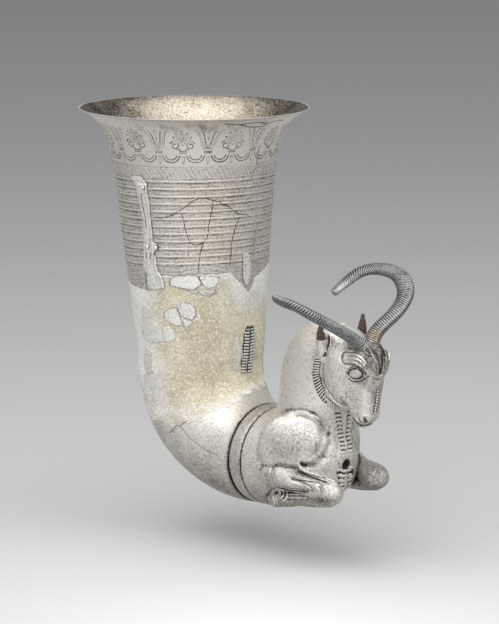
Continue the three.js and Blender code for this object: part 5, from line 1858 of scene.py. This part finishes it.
class RHYTON_OT_forepart(bpy.types.Operator):
    """Body and head of the kneeling antelope, with their chased lines"""
    bl_idname = "rhyton.forepart"
    bl_label = "Forepart"

    def execute(self, context):
        forepart = context.scene.rhyton_forepart
        coarse = 1.0
        silver = finishes()["raised_silver"]
        body = modelled(body_field, *BODY_ROOM, forepart.body_grain / MM * coarse)
        self.piece("forepart_body", body, [(body_relief, 0.0, BOTH_SIDES),
                                           (leg_relief, LEFT_KNEE_RISE, BOTH_SIDES),
                                           (fold_relief, 0.0, NEAR_SIDE)], silver,
                   ("protome_shell", "foreleg_right", "foreleg_left"))
        head = modelled(head_field, *HEAD_ROOM, forepart.head_grain / MM * coarse)
        self.piece("forepart_head", head, [(head_relief, 0.0, BOTH_SIDES)], silver, ("head_shell",))
        surface = animal_surface()
        groups = [("shoulder_lines", SHOULDER_LINES, 0.0, BOTH_SIDES, "protome_shell"),
                  ("head_lines", EYE_LINES + HEAD_LINES, 0.0, BOTH_SIDES, "head_shell"),
                  ("leg_lines", LEG_LINES, LEFT_KNEE_RISE, BOTH_SIDES, "foreleg_right"),
                  ("knee_folds", KNEE_FOLDS, 0.0, NEAR_SIDE, "foreleg_right")]
        for name, lines, rise, sides, node in groups:
            strips = []
            for side in sides:
                for path, half, profile in lines:
                    spots = cast(surface, path, side, rise if side < 0 else 0.0)
                    if lines is LEG_LINES:
                        # Past the edge of a leg, its line would run on along the body behind it.
                        spots = unbroken(spots)
                    strips.append(surface_strip(surface, spots, half, profile))
            made(name, joined(strips), silver, node)
        return {"FINISHED"}

    def piece(self, name, form, reliefs, finish, nodes):
        """Carves a modelled form and dresses it."""
        points, quads, normals = form
        for relief, rise, sides in reliefs:
            points = carve(points, normals, relief, rise, sides)
        marks = hollow_marks(points, quads, normals)
        flat = drawn(np.column_stack([points[:, 0], -np.abs(points[:, 1]), points[:, 2]]))
        # Patches of painted shade and tarnish, placed on the animal and drawn in the view.
        for places, patches in ((points, SHADE_AND_TARNISH_PATCHES), (flat, SHADES)):
            for middle, reach, dark in patches:
                marks = np.maximum(marks, dark * np.exp(-(((places - middle) / reach) ** 2).sum(1)))
        return made(name, (points, quads, marks), finish, *nodes)


# Painted shade on the animal, with some tarnish: darker on the far knee, by the near ear, on the throat and
# towards the bottom. Middle, reach, darkness.
SHADE_AND_TARNISH_PATCHES = [
    ((70, 20, 22), (18, 12, 12), 0.8),
    ((78, 16, 31), (9, 8, 7), 0.75),
    ((62, -17, 104), (7, 6, 9), 0.35),
    ((64, -9, 64), (10, 8, 9), 0.3),
    ((50, -15, 0), (60, 40, 32), 0.62),
]
# Patches drawn in the view, on both sides alike: painted shade under the horns, brow, eyes, jaw and muzzle,
# on the roundel and its folds and on the legs, with tarnish on the forelock. Middle, reach, darkness.
SHADES = [
    ((370, 354), (17, 18), 0.95),
    ((357, 343), (18, 7), 0.75),
    ((362, 350), (11, 6), 1.0),
    ((351, 394), (13, 15), 0.2),
    ((363, 382), (8, 6), 0.45),
    ((357, 381), (8, 3), 0.45),
    ((337, 345), (9, 6), 0.45),
    ((350, 349), (10, 4), 0.65),
    ((372, 389), (5, 12), 0.45),
    ((334, 394), (5, 10), 0.3),
    ((345, 366), (5, 5), 0.3),
    ((376, 400), (6, 22), 0.6),
    ((366, 427), (12, 5), 0.75),
    ((338, 404), (10, 6), 0.7),
    ((322, 338), (5, 11), 0.7),
    ((318, 452), (12, 11), 0.5),
    ((322, 425), (5, 9), 0.7),
    ((312, 465), (9, 3), 0.7),
    ((288, 447), (24, 22), 0.42),
    ((337, 434), (6, 26), 0.4),
    ((270, 476), (10, 12), 0.45),
    ((300, 475), (26, 8), 0.58),
    ((328, 488), (12, 9), 0.4),
    ((322, 501), (22, 6), 0.7),
]
# The ruff: half width of its ground and of a tongue, and how far the tongues lean.
RUFF_HALF = 2.8
TONGUE_HALF = 0.56
TONGUE_LEAN = 0.35
# Beads drawn in the view, and their lathe profiles: radius, height and tarnish.
NOSE_LINE = [(377.4, 391), (376.4, 402), (374.4, 413)]
NOSE_BEADS = 9
NOSE_BEAD = ((0, -0.5, 1), (1.1, -0.5, 1), (1.1, 0.05, 1), (0.75, 0.1, 1), (0.6, 0.5, 0), (0, 0.75, 0))
EAR_PLACE = (322.6, 353.6)
EAR_BEAD = ((0, -1, 1), (3, -1, 1), (3, 0.6, 1), (2.3, 0.7, 1), (2.2, 1.4, 0.3), (1.3, 2.3, 0), (0, 2.6, 0))
# Mane borders drawn in the view, each with its share of the curls.
MANE_LINES = [
    ([(337.5, 411), (340, 430), (342.2, 443), (343.6, 452)], 1.0),
    ([(339, 470), (340.6, 479), (341.6, 488)], 0.42),
    ([(348.8, 470), (349.6, 478), (349, 486)], 0.42),
]
# Half width of a border, samples along it, and the line of one curl.
MANE_HALF = 2.0
MANE_PLACES = 50
CURL = [(-1.7, 0.5), (-0.9, -0.3), (0, 0.35), (0.9, -0.3), (1.7, 0.5)]
CURL_HALF = 0.8
# Half the width of the throat and chest, in millimetres: beyond it a line has left them for a knee.
MANE_REACH = 10.0
# Rows of scales between the borders: first height, last height and step; their pitch and tarnish.
SCALE_ROWS = (42.0, 64.0, 2.3)
SCALE_PITCH = 1.8
SCALE_DULL = 0.4
# Scales of a row, counted from the middle; one scale as a leaf, and how high it stands.
SCALE_COLUMNS = np.arange(-3, 4)
SCALE_LEAF = ((0, 1.1), 180, 2.2, 0.8)
SCALE_RISE = 0.2
# Samples along the ruff and along one of its tongues.
RUFF_PLACES = 60
TONGUE_PLACES = 9
# A place in front of the whole animal.
AHEAD = 120.0


class RHYTON_OT_ornament(bpy.types.Operator):
    """Ruff behind the jaw, beaded nose line and curled mane"""
    bl_idname = "rhyton.ornament"
    bl_label = "Ruff and mane"

    def execute(self, context):
        forepart = context.scene.rhyton_forepart
        surface = animal_surface()
        silver = finishes()["raised_silver"]
        rows, grounds = [], []
        for side in BOTH_SIDES:
            line = cast(surface, smooth_path(RUFF_LINE, RUFF_PLACES), side)
            grounds.append(surface_strip(surface, smooth_path(line, RUFF_PLACES), RUFF_HALF, GROUND))
            spots, out = on_surface(surface, smooth_path(line, forepart.ruff_tongues // 2))
            way = to_unit(np.gradient(spots, axis=0))
            back = np.cross(way, out) * side + way * TONGUE_LEAN
            rows.append((spots, out, np.cross(back, out)))
        made("ruff_ground", joined(grounds), silver, "ruff_strip")
        spots, out, heading = (np.vstack(column) for column in zip(*rows))
        along = np.linspace(-RUFF_HALF, RUFF_HALF, TONGUE_PLACES)
        spine = np.column_stack([np.zeros(TONGUE_PLACES), along])
        tongue = strip(spine, TONGUE_HALF, CORD)
        in_a_row("ruff_tongues", tongue, spots, out, heading, silver, "ruff_strip")
        spots, out = on_surface(surface, cast(surface, smooth_path(NOSE_LINE, NOSE_BEADS), 1))
        bead = turned_shape(NOSE_BEAD, 12)
        in_a_row("nose_beads", bead, spots, out, np.gradient(spots, axis=0), silver, "head_shell")
        behind = [cast(surface, [EAR_PLACE], side) for side in BOTH_SIDES]
        spots, out = on_surface(surface, np.vstack(behind))
        knob = turned_shape(EAR_BEAD, 20)
        in_a_row("ear_beads", knob, spots, out, np.cross(out, UPRIGHT), silver, "head_shell")
        self.mane(surface, forepart.mane_curls, silver)
        return {"FINISHED"}

    def mane(self, surface, curls, silver):
        """Borders of curls down the throat, and scales between them."""
        curl = strip(smooth_path(CURL, 20), CURL_HALF, CORD)
        for side in BOTH_SIDES:
            for place, (line, share) in enumerate(MANE_LINES):
                name = f"mane_{place}_{'right' if side > 0 else 'left'}"
                middle = cast(surface, smooth_path(line, MANE_PLACES), side)
                middle = middle[np.abs(middle[:, 1]) < MANE_REACH]
                ground = surface_strip(surface, middle, MANE_HALF, GROUND)
                made(name + "_ground", ground, silver, "protome_shell")
                count = round(curls * share * len(middle) / MANE_PLACES)
                spots, out = on_surface(surface, smooth_path(middle, count))
                in_a_row(name, curl, spots, out, np.cross(UPRIGHT, out) * side, silver, "protome_shell")
        spots = []
        for row, z in enumerate(np.arange(*SCALE_ROWS)):
            for y in SCALE_COLUMNS * SCALE_PITCH + (row % 2) * SCALE_PITCH / 2:
                hit = surface.ray_cast(Vector((AHEAD * MM, y * MM, z * MM)), Vector((-1, 0, 0)))[0]
                spots.append(np.array(hit) / MM)
        spots, out = on_surface(surface, np.array(spots))
        points, faces, marks = dome(leaf(*SCALE_LEAF), SCALE_RISE)
        scale = (points, faces, SCALE_DULL * marks)
        in_a_row("chest_scales", scale, spots, out, np.cross(UPRIGHT, out), silver, "protome_shell")


# Horns: places along their middle, from the brow to the tip.
HORNS = {
    "antelope_horn_right": [(86, -3, 111), (82, -12, 118.5), (80.5, -27, 127), (77, -37, 133),
                            (69.5, -42.5, 137.5), (60.5, -43, 138.6), (51.5, -39, 138.2), (46, -31, 135.2),
                            (43.5, -16, 128.6)],
    "antelope_horn_left": [(86, 3, 111), (81.5, 12, 117.8), (79, 31, 128), (72.6, 43.5, 136),
                           (60.5, 51, 143), (49, 52, 146), (37.5, 48, 146), (32, 39, 142.5),
                           (32.3, 21, 133)],
}
# Half width at base and tip, and swell between them; half thickness at base and tip.
HORN_BASE = 4.3
HORN_TIP = 2.4
HORN_SWELL = 0.6
HORN_BASE_THICK = 3.7
HORN_TIP_THICK = 1.9
# Samples along a horn, and the power by which its width falls.
HORN_PLACES = 900
HORN_TAPER = 5
# The tip is rounded off over this share of the length, up to this end; at least the root of the last stays.
HORN_BLUNT = 0.012
HORN_END = 1.002
HORN_LEAST = 0.05
# The keel's direction: towards the outside of the curve and towards one face.
KEEL_OUTER = 0.82
KEEL_FACE = {"antelope_horn_right": -0.57, "antelope_horn_left": 0.57}
# Gilding at the base fades as the level less distance over reach goes from 1 to 0; and its strength.
GILT_REACH = 16.0
GILT_LEVEL = 1.6
GILT = {"antelope_horn_right": 0.0, "antelope_horn_left": 0.48}


class RHYTON_OT_horns(bpy.types.Operator):
    """Ribbed horns of the antelope"""
    bl_idname = "rhyton.horns"
    bl_label = "Horns"

    def execute(self, context):
        forepart = context.scene.rhyton_forepart
        tree = horn_tree()
        for node, path in HORNS.items():
            rows = smooth_path(path, HORN_PLACES)
            share = np.linspace(0, 1, len(rows))
            blunt = np.sqrt(np.clip((HORN_END - share) / HORN_BLUNT, HORN_LEAST, 1))
            swell = HORN_SWELL * np.sin(math.pi * share)
            width = HORN_BASE + (HORN_TIP - HORN_BASE) * share ** HORN_TAPER + swell
            base, middle, tip = (np.array(path[place]) for place in (0, len(path) // 2, -1))
            across = np.cross(middle - base, tip - base)
            curve = bpy.data.curves.new(node + "_line", "CURVE")
            curve.dimensions = "3D"
            spline = curve.splines.new("POLY")
            spline.points.add(len(rows) - 1)
            spline.points.foreach_set("co", np.column_stack([rows * MM, np.ones(len(rows))]).ravel())
            spline.points.foreach_set("radius", width * blunt * MM)
            source = bpy.data.objects.new(node + "_line", curve)
            context.scene.collection.objects.link(source)
            piece = grown(node + "_ribbed", source, tree, {
                "Ribs": forepart.horn_ribs, "Relief": forepart.horn_rib_relief, "Keel": KEEL_FACE[node],
                "Across": to_unit(across).tolist(), "Finish": finishes()["ribbed_silver"]})
            reach = np.linalg.norm(places_of(piece) - path[0], axis=1)
            stain(piece, "gilt", GILT[node] * np.clip(GILT_LEVEL - reach / GILT_REACH, 0, 1))
            dress(piece, "horn_silver", node)
        return {"FINISHED"}


# Broken ears: side of the animal and height of the tip. Then heights where they are widest and where the
# silver ends, the cells they are modelled with, and the room round them.
EAR_TIPS = {"ear_right": (-1, 123.0), "ear_left": (1, 125.5)}
EAR_WIDEST = 103
EAR_BREAK = 113.5
EAR_GRAIN = 0.45
EAR_MARGIN = 4.5
# Parts of an ear: name, above or below the break, finish, slot and how lumpy.
EAR_PARTS = (("stub", 1, "copper_corrosion", "ear_corrosion", 0.28),
             ("root", -1, "raised_silver", SILVER_SLOT, 0.06))


def ear_part(stations, above):
    """The field of an ear on one side of its break."""
    return lambda at: np.maximum(limb_field(at, stations), above * (EAR_BREAK - at[:, 2]))


class RHYTON_OT_ears(bpy.types.Operator):
    """Broken ears: a silver root and a corroded stub"""
    bl_idname = "rhyton.ears"
    bl_label = "Ears"

    def execute(self, context):
        for node, (side, tip) in EAR_TIPS.items():
            middle = EAR_WIDEST + 0.6 * (tip - EAR_WIDEST)
            stations = np.array([(66, 11 * side, 97, 2.04), (64, 14.5 * side, EAR_WIDEST, 3.2),
                                 (63.5, 16.5 * side, middle, 2.6), (63.5, 17 * side, tip - 1, 0.9)])
            low, high = stations[:, :3].min(0) - EAR_MARGIN, stations[:, :3].max(0) + EAR_MARGIN
            for name, above, finish, slot, crust in EAR_PARTS:
                points, quads, normals = modelled(ear_part(stations, above), low, high, EAR_GRAIN)
                x, y, z = points.T
                lumps = (np.sin(1.9 * x + 0.7 * z) * np.sin(1.7 * y + 2.3 * z)
                         + 0.6 * np.sin(3.1 * z + 2.7 * x - y))
                points = points + normals * (crust * lumps)[:, None]
                marks = crust * np.clip(1.5 + 1.8 * lumps, 0, 4)
                made(f"{node}_{name}", (points, quads, marks), finishes()[finish], node, slot=slot)
        return {"FINISHED"}


# The floor: millimetres under the object; its radius, and how far in front the brightest place of the pool
# of light painted on it is, in metres; and how the painted light fades from there.
FLOOR_DROP = 28.0
FLOOR_REACH = 9.0
FLOOR_LIGHT_POOL_MIDDLE = 0.25
FLOOR_SPREAD = 11.75
FLOOR_PAINTED_FALLOFF = -0.36
# Soft lamps: place, size, watts.
LAMPS = {
    "softbox_above": ((-0.05, -0.55, 1.7), 1.8, 21.0),
    "softbox_right": ((1.1, 0.7, 1.5), 1.6, 12.0),
}
# The studio's walls: their glow all round, the extra glow in front, and how tightly that is gathered.
WORLD_LOW = 0.4
WORLD_FRONT = 1.32
WORLD_GATHER = 3.0
WORLD_WAY = BACK + 0.45 * UP - 0.25 * RIGHT


class RHYTON_OT_stage(bpy.types.Operator):
    """Studio: pale floor, soft lamps and the front quarter camera"""
    bl_idname = "rhyton.stage"
    bl_label = "Stage"

    def execute(self, context):
        scene = context.scene
        self.floor(scene.rhyton_finish)
        for name, (place, size, watts) in LAMPS.items():
            light = bpy.data.lights.new(name, "AREA")
            light.size = size
            light.energy = watts
            self.aimed(scene, light, place, -Vector(place))
        scene.world = self.studio()
        scene.view_settings.view_transform = "Standard"
        eye = bpy.data.cameras.new("front_quarter")
        eye.lens = VIEW_FOCUS / VIEW_SIZE[1] * eye.sensor_width
        eye.clip_end = 100
        scene.camera = self.aimed(scene, eye, EYE * MM, -Vector(BACK))
        return {"FINISHED"}

    def aimed(self, scene, data, place, way):
        """Sets a lamp or the camera in its place and points it."""
        obj = bpy.data.objects.new(data.name, data)
        obj.location = place
        obj.rotation_euler = way.to_track_quat("-Z", "Y").to_euler()
        scene.collection.objects.link(obj)
        return obj

    def studio(self):
        """White walls that glow more in front of the object than behind it."""
        world = bpy.data.worlds.new("studio")
        world.use_nodes = True
        tree = world.node_tree
        tree.nodes.clear()
        way = add(tree, "ShaderNodeTexCoord", out="Generated")
        faced = add(tree, "ShaderNodeVectorMath", {0: way, 1: to_unit(WORLD_WAY).tolist()}, out="Value",
                    operation="DOT_PRODUCT")
        glow = reckon(tree, {"faced": faced}, [
            ("half", "MULTIPLY_ADD", "faced", 0.5, 0.5),
            ("near", "POWER", "half", WORLD_GATHER),
            ("glow", "MULTIPLY_ADD", "near", WORLD_FRONT, WORLD_LOW),
        ])["glow"]
        sky = add(tree, "ShaderNodeBackground", {"Color": (1, 1, 1, 1), "Strength": glow})
        add(tree, "ShaderNodeOutputWorld", {0: sky})
        return world

    def floor(self, finish):
        """A wide pale floor with a painted pool of light that falls off into grey."""
        material, tree, place = new_material("studio_floor")
        middle = (FLOOR_LIGHT_POOL_MIDDLE * math.sin(VIEW_TURN), -FLOOR_LIGHT_POOL_MIDDLE * math.cos(VIEW_TURN), -FLOOR_DROP * MM)
        reach = add(tree, "ShaderNodeVectorMath", {0: place, 1: middle}, out="Value", operation="DISTANCE")
        painted_falloff = reckon(tree, {"reach": reach}, [
            ("far", "MULTIPLY_ADD", "reach", FLOOR_SPREAD, 1.0),
            ("fade", "POWER", "far", FLOOR_PAINTED_FALLOFF)])["fade"]
        end_material(tree, mix(tree, painted_falloff, (0, 0, 0, 1), linear(finish.floor)), 0.8, {})
        turn = full_turn(64)
        ring = np.column_stack([np.cos(turn), np.sin(turn)]) * FLOOR_REACH / MM
        points = np.column_stack([ring, np.full(len(ring), -FLOOR_DROP)])
        mesh_object("floor", points, [list(range(len(ring)))], None, material)


class RHYTON_PT_steps(bpy.types.Panel):
    """Lists the steps that build the rhyton, and their sizes"""
    bl_idname = "RHYTON_PT_steps"
    bl_label = "Rhyton"
    bl_space_type = "VIEW_3D"
    bl_region_type = "UI"
    bl_category = "Rhyton"

    def draw(self, context):
        for step in STEPS:
            self.layout.operator(step.bl_idname)
        for holder, group in SETTINGS.items():
            for name in group.__annotations__:
                self.layout.prop(getattr(context.scene, holder), name)


STEPS = (RHYTON_OT_beaker, RHYTON_OT_frieze, RHYTON_OT_fill, RHYTON_OT_elbow, RHYTON_OT_fragments,
         RHYTON_OT_straps,
         RHYTON_OT_rings, RHYTON_OT_forepart, RHYTON_OT_ornament, RHYTON_OT_horns, RHYTON_OT_ears,
         RHYTON_OT_stage)
SETTINGS = {"rhyton_vessel": RhytonVessel, "rhyton_forepart": RhytonForepart, "rhyton_finish": RhytonFinish}


def register():
    """Makes the settings, the steps and the panel known to Blender."""
    for kind in (*SETTINGS.values(), *STEPS, RHYTON_PT_steps):
        bpy.utils.register_class(kind)
    for holder, group in SETTINGS.items():
        setattr(bpy.types.Scene, holder, bpy.props.PointerProperty(type=group))


def unregister():
    """Takes them away again."""
    for holder in SETTINGS:
        delattr(bpy.types.Scene, holder)
    for kind in (RHYTON_PT_steps, *reversed(STEPS), *SETTINGS.values()):
        bpy.utils.unregister_class(kind)


def main():
    """Builds every piece and the stage, and gathers the points of the pieces."""
    register()
    for step in STEPS:
        getattr(bpy.ops.rhyton, step.bl_idname.split(".")[1])()
    spots = np.vstack([places_of(piece) for piece in PIECES]) * MM


if __name__ == "__main__":
    main()
